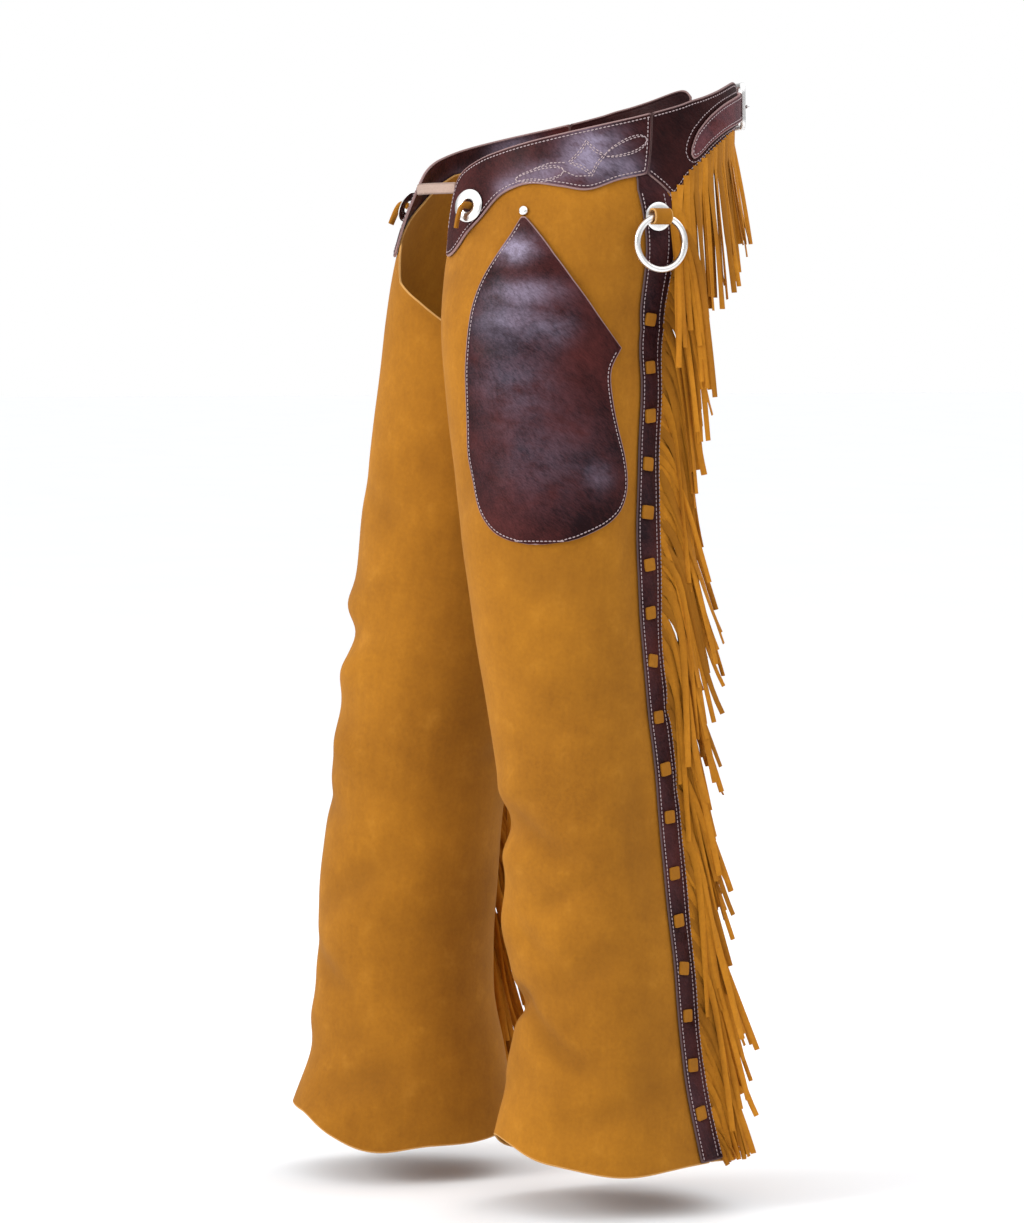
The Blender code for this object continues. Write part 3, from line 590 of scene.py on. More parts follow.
def turnedOut(made):  # faces outwards, and no loose points
    mesh = bmesh.new()
    mesh.from_mesh(made.data)
    bmesh.ops.delete(mesh, geom=[vert for vert in mesh.verts if not vert.link_faces], context="VERTS")
    if mesh.calc_volume(signed=True) < 0:
        bmesh.ops.reverse_faces(mesh, faces=mesh.faces)
    mesh.to_mesh(made.data)
    mesh.free()


def edgeDistances(grid):
    points = np.array([[tuple(point) for point, _ in row] for row in grid])
    along = np.linalg.norm(np.diff(points, axis=1), axis=2)
    down = np.linalg.norm(np.diff(points, axis=0), axis=2)
    fromLeft = np.concatenate([np.zeros((len(grid), 1)), np.cumsum(along, axis=1)], axis=1)
    fromTop = np.concatenate([np.zeros((1, len(grid[0]))), np.cumsum(down, axis=0)], axis=0)
    sides = np.minimum(fromLeft, fromLeft[:, -1:] - fromLeft)
    ends = np.minimum(fromTop, fromTop[-1:, :] - fromTop)
    return np.minimum(sides, ends)


def panel(name, grid, thickness, values=None, leftOut=(), rimBulge=0.35):
    # grid holds rows of (point on the outer face, outward normal)
    rows, columns = len(grid), len(grid[0])
    outer = [point for row in grid for point, _ in row]
    inner = [point - normal * thickness for row in grid for point, normal in row]
    verts = [tuple(point) for point in outer + inner]
    flat = edgeDistances(grid).ravel()
    numbers = {"edge": list(flat) * 2}
    for key, table in (values or {}).items():
        numbers[key] = list(table) * 2
    count = rows * columns
    cells = {(row, column) for row in range(rows - 1) for column in range(columns - 1)} - set(leftOut)
    faces, mids = [], {}

    def mid(index, away):
        if index not in mids:
            centre = (outer[index] + inner[index]) / 2
            mids[index] = len(verts)
            verts.append(tuple(centre + away * thickness * rimBulge))
            for key in numbers:
                numbers[key].append(0.0 if key == "edge" else numbers[key][index])
        return mids[index]

    for row, column in sorted(cells):
        a, b = row * columns + column, row * columns + column + 1
        c, d = b + columns, a + columns
        faces.append((a, b, c, d))
        faces.append((d + count, c + count, b + count, a + count))
        middle = (outer[a] + outer[b] + outer[c] + outer[d]) / 4
        for neighbour, first, second in (
            ((row - 1, column), b, a),
            ((row, column + 1), c, b),
            ((row + 1, column), d, c),
            ((row, column - 1), a, d),
        ):
            if neighbour not in cells:
                away = ((outer[first] + outer[second]) / 2 - middle).normalized()
                one, two = mid(first, away), mid(second, away)
                faces.append((first, second, two, one))
                faces.append((one, two, second + count, first + count))
    made = linked(name, verts, faces, numbers)
    turnedOut(made)
    return made


def cutSize(made, wide, long, held, restsOn=(), withPieces=()):
    # a closed shell shows its cut on both faces
    area = sum(face.area for face in made.data.polygons) / 2
    size = (wide, max(long, area / wide / 0.999))
    list(restsOn)
    list(withPieces)
    print(f"{made.name}: {size[0]:.3f} x {size[1]:.3f} m, {area:.4f} square metres")


# Edges of the pieces, by angle round the garment.
Edge = namedtuple("Edge", "angle height")
legTop = [
    Edge(-224, -0.163),
    Edge(-216, -0.180),
    Edge(-205, -0.205),
    Edge(-190, -0.226),
    Edge(-170, -0.234),
    Edge(-140, -0.231),
    Edge(-110, -0.222),
    Edge(-90, -0.211),
    Edge(-70, -0.196),
    Edge(-50, -0.177),
    Edge(-35, -0.162),
    Edge(-13, -0.143),
    Edge(-5, -0.125),
    Edge(5, -0.104),
]
hem = [
    Edge(-224, -0.953),
    Edge(-180, -0.957),
    Edge(-130, -0.960),
    Edge(-95, -0.964),
    Edge(-70, -0.967),
    Edge(-45, -0.954),
    Edge(-15, -0.934),
    Edge(20, -0.934),
    Edge(50, -0.948),
    Edge(80, -0.957),
    Edge(110, -0.955),
    Edge(136, -0.952),
]
Band = namedtuple("Band", "angle lower upper")
frontYoke = [
    Band(3, -0.117, -0.098),
    Band(5, -0.119, -0.082),
    Band(11, -0.116, -0.054),
    Band(16, -0.109, -0.043),
    Band(21, -0.099, -0.037),
    Band(30, -0.084, -0.029),
    Band(39, -0.065, -0.023),
    Band(47, -0.056, -0.018),
    Band(54, -0.053, -0.014),
    Band(65, -0.056, -0.008),
    Band(76, -0.059, -0.002),
    Band(87, -0.050, 0.004),
    Band(97.9, -0.0445, 0.010),
]
backYoke = [
    Band(98.2, -0.0445, 0.010),
    Band(105, -0.054, 0.014),
    Band(111.5, -0.064, 0.018),
    Band(117, -0.047, 0.022),
    Band(124, -0.034, 0.026),
    Band(132, -0.022, 0.031),
    Band(143, -0.010, 0.038),
    Band(150, -0.005, 0.041),
    Band(154, 0.000, 0.040),
    Band(157, 0.008, 0.035),
]


def yokeEdge(table, angle, which):  # smooth scallops between the corners
    if table is backYoke and which == "lower" and angle <= 111.5:
        return straight(table, angle, "angle", which)
    return interpolated(table, angle, "angle", which)


def yokeLower(angle):
    return straight(frontYoke if angle < 98 else backYoke, angle, "angle", "lower")


leg = {"columns": 150, "rows": 200, "slit": 0.12, "overlap": 0.016, "hemWave": 0.0012}


def columnAngle(column, height):
    lean = seamAt(height) - seamAngle
    near = min(max((column - seamAngle + seamSway) / seamSway, 0), 1)
    if column < -90:
        near = min(max((-column - 360 + seamAngle + seamSway) / seamSway, 0), 1)
    return column + lean * near


def columnTop(column):
    if column <= 5:
        return straight(legTop, column, "angle", "height")
    rise = min((column - 5) / 8, 1) * leg["overlap"]
    return yokeLower(columnAngle(column, -0.050)) + rise


def makeLeg(side):
    span = 360 - 2 * leg["slit"]
    columns = [seamAngle - leg["slit"] - span * step / leg["columns"] for step in range(leg["columns"] + 1)]
    grid, paintedShade = [], []
    tops = [columnTop(column) for column in columns]
    hems = [
        interpolated(hem, column, "angle", "height") + leg["hemWave"] * math.sin(0.11 * column + side)
        for column in columns
    ]
    for row in range(leg["rows"] + 1):
        down = row / leg["rows"]
        line = []
        for column, top, low in zip(columns, tops, hems):
            height = top + (low - top) * down
            angle = columnAngle(column, height)
            wrapped = (angle + 180) % 360 - 180
            line.append((skinPoint(side, height, angle), skinNormal(side, height, angle)))
            # painted shade: the deeper the leather sinks into a fold, the darker its colour there
            sunk = softShift(side, height, wrapped) + 0.35 * foldDepth(side, height, wrapped)
            paintedShade.append(min(max((sunk - 0.0008) * 95, 0), 0.40))
        grid.append(line)
    made = panel("leg_suede_" + sideNames[side], grid, skin["suede"], {"paintedShade": paintedShade})
    dressed(made, "suede", ["leg_" + sideNames[side]])
    cutSize(made, 0.674, 0.940, "hung", ["yoke_back_" + sideNames[side]])
    return made


for side in (1, -1):
    makeLeg(side)
print("legs made")


yokeParts = {"rows": 16, "columns": 120}


def paintedSheenAt(blobs, height, angle):
    total = 0
    for blob in blobs:
        down, along = (height - blob[0]) / blob[2], (angle - blob[1]) / blob[3]
        total += blob[4] * math.exp(-down * down - along * along)
    return total


# painted sheen on the yokes: height, angle, height spread, angle spread and strength of each blob
yokeShine = [
    (-0.060, 44, 0.011, 6, 0.95),
    (-0.045, 57, 0.010, 9, 0.75),
    (-0.034, 73, 0.015, 8, 1.15),
    (-0.016, 77, 0.012, 10, 0.95),
    (-0.042, 87, 0.012, 8, 0.80),
    (-0.016, 160, 0.020, 12, 0.20),
]


def makeYoke(side, name, table, cut):
    first, last = table[0].angle, table[-1].angle
    angles = sorted(
        {first + (last - first) * step / yokeParts["columns"] for step in range(yokeParts["columns"] + 1)}
        | {band.angle for band in table}
    )
    grid, paintedSheen, seam = [], [], []
    for row in range(yokeParts["rows"] + 1):
        line = []
        for angle in angles:
            lower, upper = yokeEdge(table, angle, "lower"), yokeEdge(table, angle, "upper")
            height = lower + (upper - lower) * row / yokeParts["rows"]
            line.append((lifted(side, height, angle, yokeOuter), skinNormal(side, height, angle)))
            paintedSheen.append(paintedSheenAt(yokeShine, height, angle))
            seam.append(math.exp(-(((angle - 98) / 1.2) ** 4)))
        grid.append(line)
    made = panel(f"{name}_leather_{sideNames[side]}", grid, skin["yoke"], {"paintedSheen": paintedSheen, "seam": seam})
    finish = "yokeBack" if table is backYoke else "yoke"
    dressed(made, finish, [f"{name}_{sideNames[side]}"])
    cutSize(made, *cut, "laid")
    return made


for side in (1, -1):
    makeYoke(side, "yoke_front", frontYoke, (0.078, 0.260))
    makeYoke(side, "yoke_back", backYoke, (0.081, 0.160))
print("yokes made")

PocketRow = namedtuple("PocketRow", "height front rear")
pocketRows = [
    PocketRow(-0.084, 50.5, 52.5),
    PocketRow(-0.100, 46.8, 60.0),
    PocketRow(-0.118, 42.0, 68.4),
    PocketRow(-0.140, 37.0, 80.0),
    PocketRow(-0.161, 34.2, 92.0),
    PocketRow(-0.182, 32.8, 103.5),
    PocketRow(-0.202, 31.4, 114.0),
    PocketRow(-0.222, 29.4, 108.7),
    PocketRow(-0.248, 27.2, 109.3),
    PocketRow(-0.276, 25.3, 112.8),
    PocketRow(-0.303, 23.8, 117.2),
    PocketRow(-0.328, 24.6, 118.8),
    PocketRow(-0.347, 28.4, 115.0),
    PocketRow(-0.360, 33.2, 107.0),
    PocketRow(-0.370, 40.0, 95.0),
    PocketRow(-0.376, 49.0, 84.0),
    PocketRow(-0.379, 60.0, 70.0),
]
# the shine blobs are painted sheen on the pocket
pocket = {"rows": 110, "columns": 60, "bulge": 0.0030, "mouth": 0.118, "shine": [
    (-0.114, 51, 0.010, 8, 1.65),
    (-0.152, 60, 0.010, 16, 0.80),
    (-0.178, 56, 0.016, 18, 0.62),
    (-0.186, 78, 0.014, 9, 0.40),
    (-0.232, 58, 0.030, 20, 0.30),
    (-0.300, 72, 0.040, 30, 0.18),
    (-0.318, 100, 0.012, 8, 0.30),
]}
pocketNotch = -0.202


def pocketEdge(height, which):
    if which == "rear" and height >= pocketNotch:
        return straight(pocketRows, height, "height", which)
    rows = [row for row in pocketRows if row.height <= pocketNotch or which == "front"]
    return interpolated(rows, height, "height", which)


def makePocket(side):
    top, bottom = pocketRows[0].height, pocketRows[-1].height
    grid, paintedSheen = [], []
    for row in range(pocket["rows"] + 1):
        height = top + (bottom - top) * row / pocket["rows"]
        front, rear = pocketEdge(height, "front"), pocketEdge(height, "rear")
        line = []
        for column in range(pocket["columns"] + 1):
            across = column / pocket["columns"]
            angle = front + (rear - front) * across
            down = row / pocket["rows"]
            full = math.sin(math.pi * across) ** 0.7 * math.sin(math.pi * min(down * 1.02, 1)) ** 0.8
            fading = 0.5 + 0.5 * math.cos((height + 0.15) * 16)
            ripple = 0.0012 * math.sin(height * 175 + 0.03 * angle) * full * fading
            ripple += 0.0006 * noise(Vector((height * 55, angle * 0.05, side * 3.0))) * full
            lift = pocketOuter + pocket["bulge"] * full + ripple
            if height > pocketNotch:  # the mouth stands a little open
                share = min(max((height - pocketNotch) / pocket["mouth"], 0), 1)
                lift += 0.0012 * across**6 * math.sin(math.pi * share)
            line.append((lifted(side, height, angle, lift), skinNormal(side, height, angle)))
            paintedSheen.append(paintedSheenAt(pocket["shine"], height, angle))
        grid.append(line)
    made = panel("pocket_leather_" + sideNames[side], grid, skin["suede"], {"paintedSheen": paintedSheen})
    dressed(made, "yoke", ["pocket_" + sideNames[side]])
    cutSize(made, 0.17, 0.30, "laid", ["leg_suede_" + sideNames[side]])
    return made


for side in (1, -1):
    makePocket(side)
print("pockets made")

strip = {
    "front": -0.0135,  # either side of the outseam
    "rear": 0.0205,
    "sewnAt": 0.0106,  # the middle row of sewing
    "top": -0.0420,
    "bottom": -0.951,
    "rows": 420,
    "columns": 10,
    "tabHeights": [-0.176, -0.220, -0.264, -0.308, -0.352, -0.400, -0.444, -0.488, -0.540,
                   -0.588, -0.632, -0.684, -0.728, -0.772, -0.816, -0.862, -0.907],
    "tab": 0.0115,
    "tabThick": 0.0026,
}


def stripPoint(side, height, across, lift):
    angle = seamAt(height)
    at = angle + across / degreeLength(side, height, angle)
    return lifted(side, height, at, lift), skinNormal(side, height, at)


def stripLift(height, across):  # the strip runs in under the yoke's edge
    below = yokeLower(seamAt(height) + across / perDegree) - height
    under = min(max((0.0040 - below) / 0.0050, 0), 1)
    return stripOuter - 0.0021 * under * under * (3 - 2 * under)


def makeStrip(side):
    grid, stripSheen = [], []
    for row in range(strip["rows"] + 1):
        height = strip["top"] + (strip["bottom"] - strip["top"]) * row / strip["rows"]
        nearest = min(abs(abs(height - tab) - strip["tab"] / 2) for tab in strip["tabHeights"])
        dent = math.exp(-((nearest / 0.0016) ** 2))
        line = []
        for column in range(strip["columns"] + 1):
            across = strip["front"] + (strip["rear"] - strip["front"]) * column / strip["columns"]
            inTab = max(0, 1 - (abs(across) / 0.0072) ** 4)
            line.append(stripPoint(side, height, across, stripLift(height, across) - 0.0005 * dent * inTab))
            # painted sheen on the strip: a little all over, more near its foot, less at the dents of the
            # tabs
            stripSheen.append(0.25 + 0.3 * math.exp(-(((height + 0.900) / 0.035) ** 2)) - dent * inTab)
        grid.append(line)
    paintedSheen = [max(dent, 0) * 0.14 for dent in stripSheen]
    made = panel("side_strip_leather_" + sideNames[side], grid, skin["strip"], {"paintedSheen": paintedSheen})
    dressed(made, "strip", ["side_strip_" + sideNames[side]])
    cutSize(made, 0.035, 0.90, "laid", ["leg_suede_" + sideNames[side]])
    return made


for side in (1, -1):
    makeStrip(side)
print("side strips made")


def clearSelection():
    bpy.ops.object.select_all(action="DESELECT")


def selectAll():
    bpy.ops.mesh.select_all(action="SELECT")


def shaped(name):  # the primitive that was just added, ready for its shaping
    made = bpy.context.active_object
    made.name = name
    bpy.ops.object.mode_set(mode="EDIT")
    return made


def settled(made):  # out of edit mode, with its place in its mesh
    bpy.ops.object.mode_set(mode="OBJECT")
    bpy.ops.object.transform_apply(location=True, rotation=True, scale=True)
    clearSelection()
    return made


def placed(made, matrix):
    made.data.transform(matrix)
    made.data.update()
    return made


def joinedCopies(name, source, matrices):
    corners = np.array([tuple(vert.co) for vert in source.data.vertices])
    faces = [tuple(face.vertices) for face in source.data.polygons]
    verts, allFaces = [], []
    for place, matrix in enumerate(matrices):
        turn = np.array(matrix)
        verts.append(corners @ turn[:3, :3].T + turn[:3, 3])
        start = place * len(corners)
        allFaces += [tuple(index + start for index in face) for face in faces]
    verts = np.concatenate(verts).tolist()
    made = linked(name, verts, allFaces, {"edge": [1.0] * len(verts)})
    made.data.shade_smooth()
    return made


def makeStitch():
    clearSelection()
    bpy.ops.mesh.primitive_uv_sphere_add(segments=6, ring_count=4, radius=0.5, location=(0, 0, 0))
    made = shaped("stitchShape")
    selectAll()
    bpy.ops.transform.rotate(value=math.radians(90), orient_axis="Y", center_override=(0, 0, 0))
    bpy.ops.transform.resize(value=(0.0030, 0.0011, 0.0009))
    return settled(made)


stitchShape = makeStitch()


def stitchMatrices(places):  # places are (point, normal) pairs along a line of sewing
    made, gone = [], sewing["pitch"] / 2
    for (start, normal), (finish, _) in zip(places, places[1:]):
        ahead = finish - start
        length = ahead.length
        if length < 1e-7:
            continue
        ahead.normalize()
        side = normal.cross(ahead).normalized()
        turn = Matrix((ahead, side, ahead.cross(side))).transposed().to_4x4()
        while gone < length:
            turn.translation = start + ahead * gone + normal * sewing["lift"]
            made.append(turn.copy())
            gone += sewing["pitch"]
        gone -= length
    return made


def sewn(name, lines):
    matrices = [matrix for line in lines for matrix in stitchMatrices(line)]
    made = joinedCopies(name, stitchShape, matrices)
    dressed(made, "thread", smoothAngle=None)
    return made


def onSkin(side, height, angle, lift):
    return lifted(side, height, angle, lift), skinNormal(side, height, angle)


def yokeLine(side, table, which):
    first, last = table[0].angle, table[-1].angle
    steps = 260
    line = []
    for step in range(steps + 1):
        angle = first + (last - first) * (0.012 + 0.976 * step / steps)
        slope = (yokeEdge(table, angle + 0.3, which) - yokeEdge(table, angle - 0.3, which)) / 0.6
        away = sewing["inset"] * min(math.sqrt(1 + (slope / perDegree) ** 2), 1.7)
        height = yokeEdge(table, angle, which) + (away if which == "lower" else -away)
        line.append(onSkin(side, height, angle, yokeOuter))
    return line


def yokeEnd(side, table, angle):
    inset = sewing["inset"]
    lower, upper = yokeEdge(table, angle, "lower") + inset, yokeEdge(table, angle, "upper") - inset
    return [onSkin(side, lower + (upper - lower) * step / 20, angle, yokeOuter) for step in range(21)]


buckle = {
    "halfWidth": 0.0170,
    "halfHeight": 0.0195,
    "corner": 0.0070,
    "wire": 0.0024,
    "lift": 0.0076,
    "height": 0.021,
    "across": 0.044,
    "tongue": 0.0016,
    "gap": 0.0003,
}


def waistAngle(across):
    centreX, _, _, _, outer, _ = section(1, buckle["height"])
    return 180 - math.degrees(math.asin(min(max((across - centreX) / outer, -1), 1)))


def waistPoint(side, across, height, lift):  # below zero lies past the centre back
    if across < 0:
        return waistPoint(-side, -across, height, lift)
    if across < section(1, buckle["height"])[0]:
        behind = lifted(1, height, 180, lift)
        return Vector((side * across, behind.y, behind.z))
    return lifted(side, height, waistAngle(across), lift)


# The back straps, by distance from the centre back towards the strap's own side. The rows beside the
# buckle count from its middle.
StrapRow = namedtuple("StrapRow", "across height halfWidth lift")
sewnStrap = [
    StrapRow(0.1500, -0.0240, 0.0030, 0.0042),
    StrapRow(0.1485, -0.0210, 0.0090, 0.0042),
    StrapRow(0.1460, -0.0160, 0.0120, 0.0042),
    StrapRow(0.1380, -0.0040, 0.0125, 0.0042),
    StrapRow(0.1240, 0.0070, 0.0125, 0.0042),
    StrapRow(0.1050, 0.0140, 0.0125, 0.0042),
    StrapRow(0.0850, 0.0180, 0.0125, 0.0042),
]


def rounded(points, finer):  # a smooth curve through a few points
    made = []
    for index in range(len(points) - 1):
        before, first = points[max(index - 1, 0)], points[index]
        second, after = points[index + 1], points[min(index + 2, len(points) - 1)]
        for step in range(finer):
            t = step / finer
            bend = (2 * before - 5 * first + 4 * second - after) * t**2
            twist = (3 * first - before - 3 * second + after) * t**3
            made.append(0.5 * (2 * first + (second - before) * t + bend + twist))
    return made + [points[-1]]


# The stitched scroll: a leaf, a diamond and a leaf, sewn twice round.
scroll = {
    "leaves": [((-0.0500, 46.8), (-0.0425, 65.6), 0.0084), ((-0.0285, 80.6), (-0.0135, 96.0), 0.0092)],
    "diamond": [(-0.0350, 67.0), (-0.0150, 73.0), (-0.0285, 80.6), (-0.0470, 76.6)],
    "veins": [
        [(-0.0405, 54.0), (-0.0355, 60.0), (-0.0350, 67.0)],
        [(-0.0425, 65.6), (-0.0475, 70.5), (-0.0470, 76.6)],
    ],
    "spacing": 0.0022,
    "perDegree": 0.00235,
}


def leafLine(side, tip, end, half, grow):
    line = []
    for step in range(81):
        turn = 2 * math.pi * step / 80
        along = 0.5 - 0.5 * math.cos(turn)
        wide = (half + grow) * math.sin(turn) * (0.55 + 0.45 * along)
        height = tip[0] + (end[0] - tip[0]) * along
        angle = tip[1] + (end[1] - tip[1]) * along
        run = Vector(((end[1] - tip[1]) * scroll["perDegree"], end[0] - tip[0])).normalized()
        height += wide * run.x
        angle -= wide * run.y / scroll["perDegree"]
        line.append(onSkin(side, height, angle, yokeOuter))
    return line


def curvedLine(side, corners, closed, bow, shift):
    line = []
    count = len(corners) if closed else len(corners) - 1
    middle = [sum(corner[i] for corner in corners) / len(corners) for i in (0, 1)]
    for index in range(count):
        first, second = corners[index], corners[(index + 1) % len(corners)]
        for step in range(16):
            along = step / 16
            height = first[0] + (second[0] - first[0]) * along
            angle = first[1] + (second[1] - first[1]) * along
            pull = bow * math.sin(math.pi * along) + shift
            toMiddle = Vector(((middle[1] - angle) * scroll["perDegree"], middle[0] - height))
            if toMiddle.length > 1e-6:
                toMiddle.normalize()
            height += toMiddle.y * pull
            angle += toMiddle.x * pull / scroll["perDegree"]
            line.append(onSkin(side, height, angle, yokeOuter))
    if closed:
        line.append(line[0])
    return line


def makeYokeStitching(side):
    lines = [yokeLine(side, table, which)
             for table in (frontYoke, backYoke) for which in ("lower", "upper")]
    lines += [yokeEnd(side, frontYoke, 97.9 - 1.4), yokeEnd(side, backYoke, 157 - 1.3)]
    for tip, end, half in scroll["leaves"]:
        lines.append(leafLine(side, tip, end, half, 0))
        lines.append(leafLine(side, tip, end, half, -scroll["spacing"]))
    lines.append(curvedLine(side, scroll["diamond"], True, 0.0010, 0))
    lines.append(curvedLine(side, scroll["diamond"], True, 0.0010, scroll["spacing"]))
    for vein in scroll["veins"]:
        lines.append(curvedLine(side, vein, False, 0.0, 0))
    return sewn("yoke_stitching_" + sideNames[side], lines)


def makePocketStitching(side):
    top, bottom = pocketRows[0].height, pocketRows[-1].height
    inset = sewing["inset"]
    outline = []
    rows = 220
    for step in range(rows + 1):  # down the front, across the foot and up the rear to the notch
        height = top - 0.006 + (bottom + inset - top + 0.006) * step / rows
        outline.append((height, pocketEdge(height, "front"), 1))
    front, rear = pocketEdge(bottom + inset, "front") + 3, pocketEdge(bottom + inset, "rear") - 3
    outline += [(bottom + inset, front + (rear - front) * step / 40, 0) for step in range(1, 40)]
    for step in range(rows + 1):
        height = bottom + inset + (pocketNotch - 0.003 - bottom - inset) * step / rows
        outline.append((height, pocketEdge(height, "rear"), -1))
    line = []
    for height, angle, inward in outline:
        step, which = degreeLength(side, height, angle), "front" if inward > 0 else "rear"
        slope = abs(pocketEdge(height + 0.001, which) - pocketEdge(height - 0.001, which)) * step / 0.002
        moved = angle + inward * inset * min(math.sqrt(1 + slope * slope), 3.2) / step
        line.append(onSkin(side, height, moved, pocketOuter + 0.0004))
    return sewn("pocket_stitching_" + sideNames[side], [line])


def makeStripStitching(side):
    lines = []
    heights = [-0.062 + (strip["bottom"] + 0.003 + 0.062) * step / 699 for step in range(700)]
    for across in (strip["front"] + 0.0028, strip["sewnAt"], strip["rear"] - 0.0028):
        lines.append([stripPoint(side, height, across, stripOuter) for height in heights])
    return sewn("strip_stitching_" + sideNames[side], lines)


for side in (1, -1):
    makeYokeStitching(side)
    makePocketStitching(side)
    makeStripStitching(side)
print("stitching made")


def makeTabShape():  # one loop of the lace that is drawn through the strip
    clearSelection()
    size = (strip["tab"] * 1.16, strip["tab"] * 1.05, strip["tabThick"])
    bpy.ops.mesh.primitive_cube_add(size=1, location=(0, 0, 0), scale=size)
    made = shaped("tabShape")
    selectAll()
    bpy.ops.mesh.subdivide(number_cuts=3)
    bpy.ops.object.mode_set(mode="OBJECT")
    for vert in made.data.vertices:
        x, y = vert.co.x * 2, vert.co.y * 2
        fall = (abs(y) ** 3) * 0.0028 + (abs(x) ** 4) * 0.0009
        vert.co.z -= fall / strip["tabThick"]
        corner = max(abs(x) - 0.55, 0) * max(abs(y) - 0.55, 0)
        vert.co.x *= 1 - 0.55 * corner
        vert.co.y *= 1 - 0.55 * corner
    bpy.ops.object.transform_apply(location=True, rotation=True, scale=True)
    finer = made.modifiers.new("softened", "SUBSURF")
    finer.levels = finer.render_levels = 1
    bpy.ops.object.modifier_apply(modifier="softened")
    clearSelection()
    return made


def makeTabs(side, source):
    matrices = []
    chance = random.Random(31 + side)
    for height in strip["tabHeights"]:
        point, normal = stripPoint(side, height, chance.uniform(-0.0026, -0.0014), stripOuter + 0.0006)
        above, _ = stripPoint(side, height + 0.002, -0.0020, stripOuter + 0.0006)
        up = Vector((0, 0, 1)).lerp((above - point).normalized(), 0.5)
        up = (up - normal * up.dot(normal)).normalized()
        turn = Matrix.Rotation(math.radians(chance.uniform(-4, 4)), 3, normal)
        up = turn @ up
        across = up.cross(normal).normalized()
        size = chance.uniform(0.94, 1.05)
        thick = normal * chance.uniform(0.9, 1.15)
        frameAt = Matrix((across * size, up * size, thick)).transposed().to_4x4()
        frameAt.translation = point
        matrices.append(frameAt)
    made = joinedCopies("strip_lace_tabs_" + sideNames[side], source, matrices)
    turnedOut(made)
    dressed(made, "suede", smoothAngle=None)


tabShape = makeTabShape()
for side in (1, -1):
    makeTabs(side, tabShape)
print("lace tabs made")


# Fringe strands: ribbons that leave their seam and fall, each with its own droop, width and twist.
strand = {"stations": 15, "thickness": 0.0013, "narrowing": 0.82, "uncut": 0.35, "shadedStrandTone": 0.95}


def strandMesh(name, strands):
    verts, faces, toneAndShade, edges = [], [], [], []
    for path, width, roll, tone in strands:
        start = len(verts)
        count = len(path)
        for place, point in enumerate(path):
            ahead = (path[min(place + 1, count - 1)] - path[max(place - 1, 0)]).normalized()
            share = place / (count - 1)
            wide = roll[0] - ahead * roll[0].dot(ahead)
            wide.normalize()
            wide = Matrix.Rotation(roll[1] * share + roll[2] * math.sin(2.2 * share), 3, ahead) @ wide
            thick = ahead.cross(wide)
            half = width / 2 * (1 - (1 - strand["narrowing"]) * share)
            half = half * (1 + strand["uncut"] * math.exp(-9 * share))
            deep = strand["thickness"] / 2
            for across, out in ((-1, 0), (-0.55, 1), (0.55, 1), (1, 0), (0.55, -1), (-0.55, -1)):
                verts.append(tuple(point + wide * half * across + thick * deep * out))
                # the strand's own random tone, or painted shade for a shaded strand, plus painted shade
                # that darkens it towards its root
                toneAndShade.append(tone + 0.35 * (1 - share) ** 3)
                edges.append(1.0)
        for ring in range(count - 1):
            for corner in range(6):
                a = start + ring * 6 + corner
                b = start + ring * 6 + (corner + 1) % 6
                faces.append((a, b, b + 6, a + 6))
        faces.append(tuple(start + corner for corner in range(5, -1, -1)))
        faces.append(tuple(start + (count - 1) * 6 + corner for corner in range(6)))
    made = linked(name, verts, faces, {"strand": toneAndShade, "edge": edges})
    made.data.shade_smooth()
    made.data.set_sharp_from_angle(angle=math.radians(62))
    return made


def marched(side, root, length, aheadAt, clearanceAt):  # a strand's path, kept off the leg
    point, path = root.copy(), []
    for station in range(strand["stations"]):
        share = station / (strand["stations"] - 1)
        path.append(pushedOut(side, point, clearanceAt(share)))
        point = point + aheadAt(share).normalized() * (length / (strand["stations"] - 1))
    return path


def cutStrand(chance, kind, path, wide):
    width = chance.uniform(*kind["width"])
    roll = (wide, chance.uniform(-kind["roll"], kind["roll"]), chance.uniform(-kind["curl"], kind["curl"]))
    # a share of the strands is painted in shade, for the gaps between strands; the rest take a random tone
    # of their own
    tone = strand["shadedStrandTone"] if chance.random() < kind["dark"] else chance.random() * 0.7
    return path, width, roll, tone


def finishFringe(side, place, strands, lengths, wide, long, sewnTo):
    made = strandMesh(f"fringe_strands_{place}_{sideNames[side]}", strands)
    dressed(made, "strands", [f"fringe_{place}_{sideNames[side]}"], smoothAngle=None)
    cutSize(made, wide, long, "hung", [sewnTo + sideNames[side]])
    area = sum(cut[1] * length for cut, length in zip(strands, lengths)) * (1 + strand["narrowing"]) / 2
    print(f"{made.name}: {len(strands)} strands, {area:.3f} square metres flat")


legFringe = {
    "top": -0.068,
    "bottom": -0.940,
    "pitch": 0.0066,
    "width": (0.0046, 0.0072),
    "length": (0.128, 0.176),
    "startSlope": (36, 60),  # degrees below level at the seam
    "hangSlope": (69, 88),
    "settle": 0.021,
    "flick": 0.20,
    "floor": -0.958,
    "roll": 1.0,
    "curl": 0.7,
    # share of strands painted in shade
    "dark": 0.10,
}


def rearward(side, height):
    normal = skinNormal(side, height, seamAt(height) + 8)
    normal.z = 0
    normal.normalize()
    back = Vector((0, 0, 1)).cross(normal) * side
    stand = 0.30 + 0.45 * min(max((-0.080 - height) / 0.20, 0), 1)
    return (back * math.sqrt(1 - stand * stand) + normal * stand).normalized(), normal


